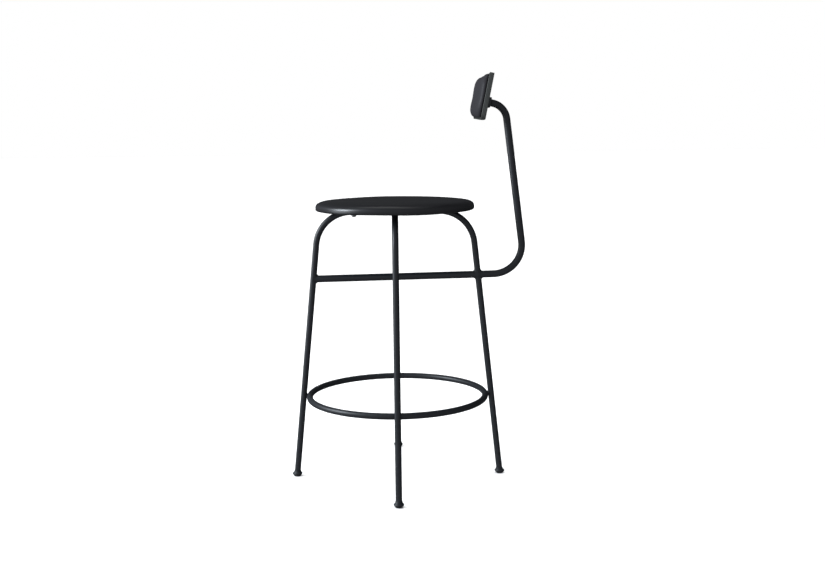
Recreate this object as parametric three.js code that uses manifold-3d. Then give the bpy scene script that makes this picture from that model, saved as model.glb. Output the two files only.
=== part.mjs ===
// A counter-height stool: four splayed legs of bent steel tube, a ring footrest, a round upholstered seat
// and a small padded backrest carried on one bent stem. Millimetres, +Z up, the sitter faces -Y.
// The origin is on the floor, in the middle of the stool's bounding box.
import * as THREE from "three";
import { mergeVertices } from "three/addons/utils/BufferGeometryUtils.js";
import Module from "manifold-3d";

const wasm = await Module();
wasm.setup();

const degrees = THREE.MathUtils.degToRad;
const vec = (x, y, z) => new THREE.Vector3(x, y, z);

// Clearance between pieces that touch.
const GAP = 0.3;

// Frame tubes.
const LEG_TUBE_R = 7;
const STEM_TUBE_R = 8;
const TUBE_WALL = 1.5;
const TUBE_HALF_SIDES = 6;
const BEND_STEPS = 7;
const CUTTER_SIDES = 16;

// Legs: straight from the floor, then bent to meet under the seat.
const LEG_FLOOR_RADIUS = 234.5;
const LEG_SPLAY = degrees(6);
const LEG_BEND_R = 80;
const RUN_Z = 609;
const legRadiusAt = (z) => LEG_FLOOR_RADIUS - z * Math.tan(LEG_SPLAY);

// Feet: a steel flange with a collar on each tube end, and a pressed-in nylon glide.
const FLANGE_R = 11.3;
const FLANGE_EASE = 0.7;
const FLANGE_BOTTOM_Z = 5.4;
const FLANGE_TOP_Z = 7;
const COLLAR_FOOT_R = 8.5;
const COLLAR_FOOT_Z = 10.2;
const COLLAR_TOP_R = 8;
const COLLAR_TOP_Z = 13.5;
const TUBE_END_Z = 8;
const GLIDE_FLAT_R = 6.4;
const GLIDE_EASE = 0.7;
const GLIDE_R = 10.7;
const GLIDE_WIDEST_Z = 4.4;
const GLIDE_PIN_R = 4;
const GLIDE_PIN_EASE = 1;
const GLIDE_PIN_TOP_Z = 14;
const FOOT_RADIUS = legRadiusAt((FLANGE_BOTTOM_Z + FLANGE_TOP_Z) / 2);

// Ring footrest, inside the legs.
const RING_Z = 188.8;
const RING_RADIUS = legRadiusAt(RING_Z) - (2 * LEG_TUBE_R + GAP) / Math.cos(LEG_SPLAY);
const RING_SEGMENTS = 40;
const RING_BORE_SIDES = 8;
const RING_VENT_R = 2.5;
const RING_WELD_R = 5.5;

// Crossbar between the front and rear legs, and the stem that carries its line on to the backrest.
const BAR_MIDDLE_Z = 461.5;
const BAR_RISE = degrees(0.9);
const BAR_END_OVERRUN = 2;
const STEM_LEAN = degrees(6.9);
const STEM_FOOT_Y = 293.4;
const STEM_TOP_CORNER_Z = 840.4;
const STEM_FOOT_BEND_R = 65;
const STEM_TOP_BEND_R = 40;
const BEAD_R = 2;
const BEAD_STEPS = 12;
const BEAD_SIDES = 5;
const BEAD_LIFT = 0.7;
const BEAD_SIDE_DEPTH = BEAD_R + GAP;

// Seat: plywood board, foam cap and a leather cover folded under the rim.
const SEAT_TOP_Z = 635;
const SEAT_R = 177.5;
const SEAT_WIDEST_Z = 616.5;
const SEAT_SEGMENTS = 40;
const CROWN_RADIAL_POWER = 12;
const CROWN_HEIGHT_POWER = 3.25;
const CROWN_STEPS = 6;
const LEATHER = 1.4;
const HEM_EDGE_DROP = 2.4;
const HEM_BELLY_DROP = 3.9;
const HEM_BELLY_INSET = 15;
const RIM_UNDERSIDE = [
  { inset: 6, drop: 3.8 },
  { inset: 2.2, drop: 2.8 },
];
const BOARD_R = 168;
const BOARD_THICKNESS = 9;
const DUST_COVER_R = 150;
const HEM_INNER_R = DUST_COVER_R + 1;
const DUST_COVER_THICKNESS = 0.8;
const DUST_COVER_Z = RUN_Z + LEG_TUBE_R + GAP;
const BOARD_Z = DUST_COVER_Z + DUST_COVER_THICKNESS + GAP;
const BOARD_TOP_Z = BOARD_Z + BOARD_THICKNESS;

// Seat screws: up through the tubes into tee nuts in the board.
const SEAT_SCREW_RADIUS = 92;
const SEAT_SCREW_R = 3;
const SEAT_SCREW_HEAD_R = 5;
const SCREW_HEAD_HEIGHT = 2.8;
const SCREW_SOCKET_DEPTH = 1.6;
const SCREW_SOCKET_SHARE = 0.38;
const SCREW_CROWN_SHARE = 0.7;
const WASHER_R = 6.5;
const WASHER_THICKNESS = 0.8;
const SCREW_CLEARANCE = 0.4;
const TEE_WALL = 1;
const TEE_FLANGE_SHARE = 3;
const TEE_FLANGE_THICKNESS = 1.2;
const TEE_POCKET_DEPTH = 1.8;
const FASTENER_SEGMENTS = 12;

// Backrest, drawn upright about the point where the stem's line meets the back of the shell,
// with +Y to the rear, and then leaned back.
const BACK_LEAN = degrees(11.4);
const BACK_REACH = 41.1;
const BACK_CURVE_R = 1286;
const BACK_CURVE_SEGMENTS = 180;
const SHELL_WIDTH = 250;
const SHELL_ABOVE_STEM = 61.2;
const SHELL_BELOW_STEM = 40.2;
const SHELL_TOP_ARCH = 3;
const SHELL_BOTTOM_ARCH = 1.2;
const SHELL_THICKNESS = 10;
const SHELL_CORNER_R = 11.5;
const PAD_INSET = 4;
const PAD_THICKNESS = 13;
const PAD_CORNER_R = 28;
const PAD_EASE_WIDTH = 16;
const PAD_EASE_DEPTH = 10.7;
const PAD_EASE_STEPS = 4;
const BRACKET_LENGTH = 58;
const BRACKET_HEIGHT = 23;
const BRACKET_THICKNESS = 6.5;
const BACK_SCREW_X = 19;
const BACK_SCREW_R = 2.5;
const BACK_SCREW_HEAD_R = 4.6;
const BACK_TEE_CLEARANCE = 0.7;
const BRACKET_WELD_R = 10;
const BRACKET_WELD_HEIGHT = 1.8;
const BRACKET_WELD_LIP = 0.6;

// Materials.
const finish = (color, roughness, metalness) =>
  new THREE.MeshStandardMaterial({ color, roughness, metalness });
const COATED_STEEL = () => finish(0x25292d, 0.42, 0.3);
const ZINC_STEEL = () => finish(0x8d9094, 0.35, 0.9);
const BLACK_SCREW = () => finish(0x16181a, 0.35, 0.8);
const NYLON = () => finish(0x111213, 0.6, 0);
const PLYWOOD = () => finish(0x9c7a52, 0.7, 0);
const STAINED_SHELL = () => finish(0x2e3230, 0.5, 0);
const LEATHER_BLACK = () => finish(0x1f2125, 0.38, 0);
const LEATHER_BACK = () => finish(0x3a373b, 0.45, 0);
const FOAM = () => finish(0xb9b6ae, 0.95, 0);
const FELT = () => finish(0x141415, 0.95, 0);

const stool = new THREE.Group();
const backrest = new THREE.Group();

function add(name, geometry, material, parent = stool) {
  const mesh = new THREE.Mesh(geometry, material);
  mesh.name = name;
  parent.add(mesh);
  return mesh;
}

// ---- Solids ----

function solidOf(geometry) {
  const bare = geometry.index ? geometry.toNonIndexed() : geometry.clone();
  bare.deleteAttribute("normal");
  bare.deleteAttribute("uv");
  const merged = mergeVertices(bare, 1e-3);
  return new wasm.Manifold(
    new wasm.Mesh({
      numProp: 3,
      vertProperties: merged.attributes.position.array,
      triVerts: new Uint32Array(merged.index.array),
    }),
  );
}

function geometryOf(solid) {
  const { vertProperties, triVerts } = solid.getMesh();
  const geometry = new THREE.BufferGeometry();
  geometry.setAttribute("position", new THREE.BufferAttribute(vertProperties, 3));
  geometry.setIndex(new THREE.BufferAttribute(triVerts, 1));
  geometry.computeVertexNormals();
  return geometry;
}

// The geometry with every cutter taken out of it.
function cut(geometry, ...cutters) {
  const left = cutters.reduce((solid, cutter) => solid.subtract(solidOf(cutter)), solidOf(geometry));
  return geometryOf(left);
}

const common = (a, b) => geometryOf(solidOf(a).intersect(solidOf(b)));

// A turned shape about +Z from [radius, height] pairs, listed anticlockwise round the half section.
function turned(profile, segments) {
  const points = profile.map(([radius, height]) => new THREE.Vector2(radius, height));
  return new THREE.LatheGeometry(points, segments).rotateX(Math.PI / 2);
}

// A straight round cutter or plug between two points.
function rod(from, to, radius, sides = CUTTER_SIDES) {
  const along = to.clone().sub(from);
  const geometry = new THREE.CylinderGeometry(radius, radius, along.length(), sides);
  const turn = new THREE.Quaternion().setFromUnitVectors(vec(0, 1, 0), along.clone().normalize());
  const middle = from.clone().add(to).multiplyScalar(0.5);
  return geometry.applyQuaternion(turn).translate(middle.x, middle.y, middle.z);
}

// ---- Bent tubes ----

// A path of straight runs joined by round bends: its knots lie only where the tube's section is needed,
// one at each end of a straight run and BEND_STEPS along each bend.
class BentPath extends THREE.Curve {
  constructor(start, corners, end) {
    super();
    const line = [start, ...corners.map((corner) => corner.at), end];
    this.knots = [];
    this.tangents = [];
    this.addKnot(start, line[1].clone().sub(start).normalize());
    corners.forEach((corner, i) => this.addBend(line[i], corner, line[i + 2]));
    this.addKnot(end, end.clone().sub(line[line.length - 2]).normalize());
  }

  addKnot(point, tangent) {
    this.knots.push(point.clone());
    this.tangents.push(tangent);
  }

  addBend(before, { at, radius }, after) {
    const incoming = at.clone().sub(before).normalize();
    const outgoing = after.clone().sub(at).normalize();
    const turn = incoming.angleTo(outgoing);
    const inward = outgoing.clone().addScaledVector(incoming, -Math.cos(turn)).normalize();
    const bendStart = at.clone().addScaledVector(incoming, -radius * Math.tan(turn / 2));
    const centre = bendStart.clone().addScaledVector(inward, radius);
    for (let step = 0; step <= BEND_STEPS; step += 1) {
      const angle = (turn * step) / BEND_STEPS;
      const point = centre.clone().addScaledVector(inward, -radius * Math.cos(angle));
      point.addScaledVector(incoming, radius * Math.sin(angle));
      const tangent = incoming.clone().multiplyScalar(Math.cos(angle));
      this.addKnot(point, tangent.addScaledVector(inward, Math.sin(angle)).normalize());
    }
  }

  get steps() {
    return this.knots.length - 1;
  }

  getPoint(t) {
    return this.knots[Math.round(t * this.steps)].clone();
  }

  getPointAt(u) {
    return this.getPoint(u);
  }

  getTangentAt(u) {
    return this.tangents[Math.round(u * this.steps)].clone();
  }

  getSpacedPoints() {
    return this.knots.map((knot) => knot.clone());
  }
}

// An open-ended hollow tube along a bent path.
function bentTube(path, radius) {
  const section = new THREE.Shape().absarc(0, 0, radius, 0, 2 * Math.PI, false);
  const bore = new THREE.Path().absarc(0, 0, radius - TUBE_WALL, 0, 2 * Math.PI, true);
  section.holes.push(bore);
  return new THREE.ExtrudeGeometry(section, {
    extrudePath: path,
    steps: path.steps,
    curveSegments: TUBE_HALF_SIDES,
  });
}

// ---- Legs ----

const SIDES = {
  front: vec(0, -1, 0),
  rear: vec(0, 1, 0),
  left: vec(-1, 0, 0),
  right: vec(1, 0, 0),
};

// A point on the centreline of the straight part of a leg.
const onLeg = (side, z) => SIDES[side].clone().multiplyScalar(legRadiusAt(z)).setZ(z);
const legBend = (side) => ({ at: onLeg(side, RUN_Z), radius: LEG_BEND_R });
const legCutter = (side) =>
  rod(onLeg(side, TUBE_END_Z), onLeg(side, BAR_MIDDLE_Z + LEG_BEND_R), LEG_TUBE_R + GAP);
const seatScrewAt = (side, z) => SIDES[side].clone().multiplyScalar(SEAT_SCREW_RADIUS).setZ(z);
const seatScrewHole = (side) =>
  rod(
    seatScrewAt(side, RUN_Z - 2 * LEG_TUBE_R),
    seatScrewAt(side, BOARD_TOP_Z + LEG_TUBE_R),
    SEAT_SCREW_R + SCREW_CLEARANCE,
    2 * TUBE_HALF_SIDES,
  );

// One tube makes the front leg, the run under the seat and the rear leg.
const arch = new BentPath(
  onLeg("front", TUBE_END_Z),
  [legBend("front"), legBend("rear")],
  onLeg("rear", TUBE_END_Z),
);
add(
  "front_rear_leg_frame",
  cut(bentTube(arch, LEG_TUBE_R), seatScrewHole("front")),
  COATED_STEEL(),
);

// Each side leg is bent to meet the middle of that run, where its end is notched to fit.
const runCutter = rod(vec(0, -LEG_BEND_R, RUN_Z), vec(0, LEG_BEND_R, RUN_Z), LEG_TUBE_R + GAP);
for (const side of ["left", "right"]) {
  const path = new BentPath(onLeg(side, TUBE_END_Z), [legBend(side)], vec(0, 0, RUN_Z));
  const tube = cut(bentTube(path, LEG_TUBE_R), runCutter, seatScrewHole(side));
  add(`${side}_leg`, tube, COATED_STEEL());
}

// ---- Feet ----

const FLANGE_PROFILE = [
  [0, FLANGE_BOTTOM_Z],
  [FLANGE_R - FLANGE_EASE, FLANGE_BOTTOM_Z],
  [FLANGE_R, FLANGE_BOTTOM_Z + FLANGE_EASE],
  [FLANGE_R, FLANGE_TOP_Z],
  [COLLAR_FOOT_R, COLLAR_FOOT_Z],
  [COLLAR_TOP_R, COLLAR_TOP_Z],
  [0, COLLAR_TOP_Z],
];
const GLIDE_PROFILE = [
  [0, 0],
  [GLIDE_FLAT_R, 0],
  [GLIDE_FLAT_R + GLIDE_EASE, GLIDE_EASE],
  [GLIDE_R, GLIDE_WIDEST_Z],
  [GLIDE_R, FLANGE_BOTTOM_Z - GAP],
  [GLIDE_PIN_R, FLANGE_BOTTOM_Z - GAP],
  [GLIDE_PIN_R, GLIDE_PIN_TOP_Z - GLIDE_PIN_EASE],
  [GLIDE_PIN_R - GLIDE_PIN_EASE, GLIDE_PIN_TOP_Z],
  [0, GLIDE_PIN_TOP_Z],
];
const FOOT_SEGMENTS = 16;

for (const side of Object.keys(SIDES)) {
  const foot = SIDES[side].clone().multiplyScalar(FOOT_RADIUS);
  const blank = turned(FLANGE_PROFILE, FOOT_SEGMENTS).translate(foot.x, foot.y, 0);
  const tubeSocket = rod(onLeg(side, TUBE_END_Z - GAP), onLeg(side, 2 * COLLAR_TOP_Z), LEG_TUBE_R + GAP);
  const pinHole = rod(foot, foot.clone().setZ(COLLAR_TOP_Z), GLIDE_PIN_R + GAP);
  add(`${side}_foot_flange`, cut(blank, tubeSocket, pinHole), COATED_STEEL());
  add(`${side}_glide`, turned(GLIDE_PROFILE, FOOT_SEGMENTS), NYLON()).position.copy(foot);
}

// ---- Footrest ring ----

const ring = (tubeR, sides = 2 * TUBE_HALF_SIDES) =>
  new THREE.TorusGeometry(RING_RADIUS, tubeR, sides, RING_SEGMENTS).translate(0, 0, RING_Z);
const ringBore = ring(LEG_TUBE_R - TUBE_WALL, RING_BORE_SIDES);
const ventAzimuth = Math.PI / 4;
const ventX = RING_RADIUS * Math.cos(ventAzimuth);
const ventY = RING_RADIUS * Math.sin(ventAzimuth);
const ringVent = rod(vec(ventX, ventY, RING_Z), vec(ventX, ventY, RING_Z - 2 * LEG_TUBE_R), RING_VENT_R, 8);
add("foot_ring", cut(ring(LEG_TUBE_R), ringBore, ringVent), COATED_STEEL());

// Where the ring crosses a leg the two tubes just touch, and the weld fills the saddle round that point.
for (const side of Object.keys(SIDES)) {
  const onRing = SIDES[side].clone().multiplyScalar(RING_RADIUS).setZ(RING_Z);
  const plug = rod(onRing, onLeg(side, RING_Z), RING_WELD_R, 12);
  add(`ring_weld_${side}`, cut(plug, ring(LEG_TUBE_R + GAP), legCutter(side)), COATED_STEEL());
}

// ---- Crossbar, stem and their welds ----

const BAR_DIRECTION = vec(0, Math.cos(BAR_RISE), Math.sin(BAR_RISE));
const barAt = (y) => vec(0, y, BAR_MIDDLE_Z + y * Math.tan(BAR_RISE));

// The y at which the bar's line crosses the centreline of the front (-1) or rear (+1) leg.
function barMeetsLeg(sign) {
  const slope = Math.tan(LEG_SPLAY);
  return (sign * legRadiusAt(BAR_MIDDLE_Z)) / (1 + sign * slope * Math.tan(BAR_RISE));
}
const FRONT_JOINT = barAt(barMeetsLeg(-1));
const REAR_JOINT = barAt(barMeetsLeg(1));

const bar = new BentPath(
  FRONT_JOINT.clone().addScaledVector(BAR_DIRECTION, BAR_END_OVERRUN),
  [],
  REAR_JOINT.clone().addScaledVector(BAR_DIRECTION, -BAR_END_OVERRUN),
);
add(
  "crossbar",
  cut(bentTube(bar, STEM_TUBE_R), legCutter("front"), legCutter("rear")),
  COATED_STEEL(),
);

const stemCornerLow = barAt(STEM_FOOT_Y);
const stemRise = STEM_TOP_CORNER_Z - stemCornerLow.z;
const stemCornerHigh = vec(0, STEM_FOOT_Y - stemRise * Math.tan(STEM_LEAN), STEM_TOP_CORNER_Z);
const backForward = vec(0, -Math.cos(BACK_LEAN), Math.sin(BACK_LEAN));
const backOrigin = stemCornerHigh.clone().addScaledVector(backForward, BACK_REACH);
const stemEndDistance = BRACKET_THICKNESS + 2 * GAP;
const stem = new BentPath(
  REAR_JOINT.clone().addScaledVector(BAR_DIRECTION, BAR_END_OVERRUN),
  [
    { at: stemCornerLow, radius: STEM_FOOT_BEND_R },
    { at: stemCornerHigh, radius: STEM_TOP_BEND_R },
  ],
  backOrigin.clone().addScaledVector(backForward, -stemEndDistance),
);
add("back_stem", cut(bentTube(stem, STEM_TUBE_R), legCutter("rear")), COATED_STEEL());

// A weld bead round the end of one tube where it butts on the side of another, whose centreline passes
// through `joint`. `out` points along the butting tube, away from the joint.
function saddleBead(joint, out, buttR, throughDirection, throughR) {
  const side = out.clone().cross(throughDirection).normalize();
  const upright = side.clone().cross(out).normalize();
  const tilt = Math.asin(throughDirection.dot(out));
  const points = [];
  for (let i = 0; i < BEAD_STEPS; i += 1) {
    const angle = (2 * Math.PI * i) / BEAD_STEPS;
    const across = (buttR + BEAD_LIFT) * Math.cos(angle);
    const along = (buttR + BEAD_LIFT) * Math.sin(angle);
    const clearOfAxis = (throughR + BEAD_LIFT) ** 2 - across ** 2;
    const depth = Math.sqrt(Math.max(clearOfAxis, BEAD_SIDE_DEPTH ** 2));
    const lift = (along * Math.sin(tilt) + depth) / Math.cos(tilt);
    const point = joint.clone().addScaledVector(side, across).addScaledVector(upright, along);
    points.push(point.addScaledVector(out, lift));
  }
  const loop = new THREE.CatmullRomCurve3(points, true);
  return new THREE.TubeGeometry(loop, BEAD_STEPS, BEAD_R, BEAD_SIDES, true);
}

// The weld is ground flush with the top of the run under the seat, where the seat has to lie flat.
const grindingBlock = rod(vec(0, 0, RUN_Z + LEG_TUBE_R), vec(0, 0, SEAT_TOP_Z), LEG_BEND_R);

function addButtWeld(name, joint, out, buttR, throughDirection, throughCutter) {
  const bead = saddleBead(joint, out, buttR, throughDirection, LEG_TUBE_R);
  const buttCutter = rod(joint, joint.clone().addScaledVector(out, 4 * buttR), buttR + GAP);
  add(name, cut(bead, throughCutter, buttCutter, grindingBlock), COATED_STEEL());
}

const legDirection = (side) => onLeg(side, RUN_Z).sub(onLeg(side, 0)).normalize();
const BAR_WELDS = [
  { name: "crossbar_front_weld", joint: FRONT_JOINT, out: BAR_DIRECTION, side: "front" },
  { name: "crossbar_rear_weld", joint: REAR_JOINT, out: BAR_DIRECTION.clone().negate(), side: "rear" },
  { name: "stem_leg_weld", joint: REAR_JOINT, out: BAR_DIRECTION, side: "rear" },
];
for (const { name, joint, out, side } of BAR_WELDS) {
  addButtWeld(name, joint, out, STEM_TUBE_R, legDirection(side), legCutter(side));
}
for (const side of ["left", "right"]) {
  addButtWeld(`${side}_run_weld`, vec(0, 0, RUN_Z), SIDES[side], LEG_TUBE_R, vec(0, 1, 0), runCutter);
}

// ---- Fasteners, drawn along +Z with the head or flange at the low end ----

// A button-head screw: the head's top face is at z = 0, the shank runs up from it.
function buttonScrew(shankR, headR, shankLength) {
  const socketR = SCREW_SOCKET_SHARE * headR;
  const socketZ = SCREW_SOCKET_DEPTH - SCREW_HEAD_HEIGHT;
  const profile = [
    [0, socketZ],
    [socketR, socketZ],
    [socketR, -SCREW_HEAD_HEIGHT],
    [SCREW_CROWN_SHARE * headR, -SCREW_HEAD_HEIGHT],
    [headR, socketZ],
    [headR, 0],
    [shankR, 0],
    [shankR, shankLength],
    [0, shankLength],
  ];
  return turned(profile, FASTENER_SEGMENTS);
}

// A tee nut: the flange rests on z = 0 from above and the barrel hangs below it.
function teeNut(boreR, barrelLength) {
  const profile = [
    [boreR, -barrelLength],
    [boreR + TEE_WALL, -barrelLength],
    [boreR + TEE_WALL, 0],
    [TEE_FLANGE_SHARE * boreR, 0],
    [TEE_FLANGE_SHARE * boreR, TEE_FLANGE_THICKNESS],
    [boreR, TEE_FLANGE_THICKNESS],
    [boreR, -barrelLength],
  ];
  return turned(profile, FASTENER_SEGMENTS);
}

// ---- Seat ----

// The crowned top and rounded rim, shrunk by `inset`, from the middle of the top out to the widest line.
function crown(inset, widestZ) {
  const points = [];
  for (let step = 0; step <= CROWN_STEPS; step += 1) {
    const angle = (Math.PI / 2) * (step / CROWN_STEPS);
    const radial = Math.sin(angle) ** (2 / CROWN_RADIAL_POWER);
    const height = Math.cos(angle) ** (2 / CROWN_HEIGHT_POWER);
    const radius = (SEAT_R - inset) * radial;
    points.push([radius, widestZ + (SEAT_TOP_Z - inset - widestZ) * height]);
  }
  return points;
}

const hemTopZ = BOARD_Z - GAP;
const coverProfile = [
  ...crown(LEATHER, hemTopZ),
  [HEM_INNER_R, hemTopZ],
  [HEM_INNER_R, hemTopZ - HEM_EDGE_DROP],
  [SEAT_R - HEM_BELLY_INSET, hemTopZ - HEM_BELLY_DROP],
  ...RIM_UNDERSIDE.map(({ inset, drop }) => [SEAT_R - inset, SEAT_WIDEST_Z - drop]),
  ...crown(0, SEAT_WIDEST_Z).reverse(),
];
add("seat_cover", turned(coverProfile, SEAT_SEGMENTS), LEATHER_BLACK());

const foamInset = LEATHER + GAP;
const foamProfile = [
  [0, BOARD_TOP_Z + GAP],
  [BOARD_R + GAP, BOARD_TOP_Z + GAP],
  [BOARD_R + GAP, BOARD_Z],
  ...crown(foamInset, BOARD_Z).reverse(),
];
const SCREWED_SIDES = ["front", "left", "right"];
const teePockets = SCREWED_SIDES.map((side) =>
  rod(
    seatScrewAt(side, BOARD_TOP_Z),
    seatScrewAt(side, BOARD_TOP_Z + GAP + TEE_POCKET_DEPTH),
    TEE_FLANGE_SHARE * (SEAT_SCREW_R + GAP) + GAP,
    FASTENER_SEGMENTS,
  ),
);
add("seat_foam", cut(turned(foamProfile, SEAT_SEGMENTS), ...teePockets), FOAM());

const disc = (radius, thickness, z) =>
  turned([[0, z], [radius, z], [radius, z + thickness], [0, z + thickness]], SEAT_SEGMENTS);
const barrelHoleR = SEAT_SCREW_R + TEE_WALL + 2 * GAP;
const barrelHoles = SCREWED_SIDES.map((side) =>
  rod(seatScrewAt(side, RUN_Z), seatScrewAt(side, SEAT_TOP_Z), barrelHoleR, FASTENER_SEGMENTS),
);
add("seat_board", cut(disc(BOARD_R, BOARD_THICKNESS, BOARD_Z), ...barrelHoles), PLYWOOD());
add(
  "seat_dust_cover",
  cut(disc(DUST_COVER_R, DUST_COVER_THICKNESS, DUST_COVER_Z), ...barrelHoles),
  FELT(),
);

const washerZ = RUN_Z - LEG_TUBE_R - GAP - WASHER_THICKNESS;
const washerProfile = [
  [SEAT_SCREW_R + GAP, 0],
  [WASHER_R, 0],
  [WASHER_R, WASHER_THICKNESS],
  [SEAT_SCREW_R + GAP, WASHER_THICKNESS],
  [SEAT_SCREW_R + GAP, 0],
];
for (const side of SCREWED_SIDES) {
  const headZ = washerZ - GAP;
  const shank = BOARD_TOP_Z + GAP + TEE_FLANGE_THICKNESS - headZ;
  const screw = buttonScrew(SEAT_SCREW_R, SEAT_SCREW_HEAD_R, shank);
  add(`seat_screw_${side}`, screw, BLACK_SCREW()).position.copy(seatScrewAt(side, headZ));
  const washer = add(`seat_washer_${side}`, turned(washerProfile, 16), ZINC_STEEL());
  washer.position.copy(seatScrewAt(side, washerZ));
  const nut = teeNut(SEAT_SCREW_R + GAP, BOARD_THICKNESS - TEE_WALL);
  add(`seat_tee_nut_${side}`, nut, ZINC_STEEL()).position.copy(seatScrewAt(side, BOARD_TOP_Z + GAP));
}

// ---- Backrest ----

// The shell and pad are parts of rings turned about the backrest's centre of curvature. `depth` is measured
// forwards from the back of the shell, and `inset` inwards from the outline of the shell.
const ringPoint = (depth, height) => [BACK_CURVE_R - depth, height];
const backRing = (profile) =>
  turned([...profile, profile[0]], BACK_CURVE_SEGMENTS).translate(0, -BACK_CURVE_R, 0);

// The backrest's outline in front view, drawn in by `inset`, deep enough to trim the rings with.
function outlineBlock(inset, cornerR) {
  const halfWidth = SHELL_WIDTH / 2;
  const coreX = halfWidth - inset - cornerR;
  const outline = new THREE.Shape();
  const addEdge = (sign, level, arch) => {
    const endDrop = arch * ((halfWidth - inset) / halfWidth) ** 2;
    const coreDrop = arch * (coreX / halfWidth) ** 2;
    const cornerZ = sign * (level - inset - endDrop - cornerR);
    const turn = sign > 0 ? 0 : Math.PI;
    outline.absarc(sign * coreX, cornerZ, cornerR, turn, turn + Math.PI / 2, false);
    const endZ = sign * (level - inset - coreDrop);
    outline.quadraticCurveTo(0, sign * (level - inset + coreDrop), -sign * coreX, endZ);
    outline.absarc(-sign * coreX, cornerZ, cornerR, turn + Math.PI / 2, turn + Math.PI, false);
  };
  addEdge(1, SHELL_ABOVE_STEM, SHELL_TOP_ARCH);
  addEdge(-1, SHELL_BELOW_STEM, SHELL_BOTTOM_ARCH);
  const depth = SHELL_WIDTH;
  const block = new THREE.ExtrudeGeometry(outline, { depth, bevelEnabled: false, curveSegments: 5 });
  return block.rotateX(Math.PI / 2).translate(0, depth / 2, 0);
}

const backScrewXs = { left: -BACK_SCREW_X, right: BACK_SCREW_X };
const backRod = (x, front, rear, radius) =>
  rod(vec(x, front, 0), vec(x, rear, 0), radius, FASTENER_SEGMENTS);
const teeBarrelR = BACK_SCREW_R + GAP + TEE_WALL;
const teeSeatDepth = SHELL_THICKNESS + BACK_TEE_CLEARANCE;

const shellRing = backRing([
  ringPoint(SHELL_THICKNESS, -SHELL_WIDTH),
  ringPoint(0, -SHELL_WIDTH),
  ringPoint(0, SHELL_WIDTH),
  ringPoint(SHELL_THICKNESS, SHELL_WIDTH),
]);
const shellHoles = Object.values(backScrewXs).map((x) =>
  backRod(x, -2 * SHELL_THICKNESS, SHELL_THICKNESS, teeBarrelR + GAP),
);
add(
  "back_shell",
  cut(common(shellRing, outlineBlock(0, SHELL_CORNER_R)), ...shellHoles),
  STAINED_SHELL(),
  backrest,
);

// The pad's front edge is eased all round: down its top and bottom in section, and down its ends in plan.
function easedEdge(inset, front) {
  const points = [];
  for (let step = 0; step <= PAD_EASE_STEPS; step += 1) {
    const angle = (Math.PI / 2) * (step / PAD_EASE_STEPS);
    points.push({
      inset: inset + PAD_EASE_WIDTH * (1 - Math.sin(angle)),
      depth: front - PAD_EASE_DEPTH * (1 - Math.cos(angle)),
    });
  }
  return points;
}

function padBlock(extraInset, front, back) {
  const inset = PAD_INSET + extraInset;
  const edge = easedEdge(inset, front);
  const lowEdge = edge.map((point) => ringPoint(point.depth, point.inset - SHELL_BELOW_STEM));
  const highEdge = edge.map((point) => ringPoint(point.depth, SHELL_ABOVE_STEM - point.inset));
  const padRing = backRing([
    ...lowEdge,
    ringPoint(back, inset - SHELL_BELOW_STEM),
    ringPoint(back, SHELL_ABOVE_STEM - inset),
    ...highEdge.reverse(),
  ]);
  const plan = edge.map((point) => {
    const x = SHELL_WIDTH / 2 - point.inset;
    return new THREE.Vector2(x, Math.sqrt((BACK_CURVE_R - point.depth) ** 2 - x ** 2) - BACK_CURVE_R);
  });
  const clear = SHELL_WIDTH / 2;
  const halfFront = new THREE.Vector2(plan[0].x, -clear);
  const halfRear = new THREE.Vector2(plan[plan.length - 1].x, clear);
  const half = [halfFront, ...plan, halfRear];
  const otherHalf = half.map((point) => new THREE.Vector2(-point.x, point.y)).reverse();
  const ends = new THREE.ExtrudeGeometry(new THREE.Shape([...half, ...otherHalf]), {
    depth: SHELL_WIDTH,
    bevelEnabled: false,
  });
  ends.translate(0, 0, -SHELL_WIDTH / 2);
  return common(common(padRing, ends), outlineBlock(inset, PAD_CORNER_R - extraInset));
}

// The pad: foam in a leather tray that is open towards the shell.
const padBack = SHELL_THICKNESS + GAP;
const padFront = padBack + PAD_THICKNESS;
const foamPockets = Object.values(backScrewXs).map((x) =>
  backRod(x, -teeSeatDepth - TEE_POCKET_DEPTH, 0, TEE_FLANGE_SHARE * (BACK_SCREW_R + GAP) + GAP),
);
add(
  "back_pad_cover",
  cut(padBlock(0, padFront, padBack), padBlock(LEATHER, padFront - LEATHER, 0)),
  LEATHER_BACK(),
  backrest,
);
add(
  "back_pad_foam",
  cut(padBlock(LEATHER + GAP, padFront - LEATHER - GAP, padBack), ...foamPockets),
  FOAM(),
  backrest,
);

// The bracket: a round-ended steel plate across the end of the stem.
function bracketPlate() {
  const endR = BRACKET_HEIGHT / 2;
  const straight = BRACKET_LENGTH / 2 - endR;
  const plate = new THREE.Shape();
  plate.absarc(straight, 0, endR, -Math.PI / 2, Math.PI / 2, false);
  plate.absarc(-straight, 0, endR, Math.PI / 2, 1.5 * Math.PI, false);
  for (const x of Object.values(backScrewXs)) {
    plate.holes.push(new THREE.Path().absarc(x, 0, BACK_SCREW_R + GAP, 0, 2 * Math.PI, true));
  }
  const solid = new THREE.ExtrudeGeometry(plate, {
    depth: BRACKET_THICKNESS,
    bevelEnabled: false,
    curveSegments: 8,
  });
  return solid.rotateX(Math.PI / 2).translate(0, BRACKET_THICKNESS + GAP, 0);
}
add("back_bracket", bracketPlate(), COATED_STEEL(), backrest);

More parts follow.
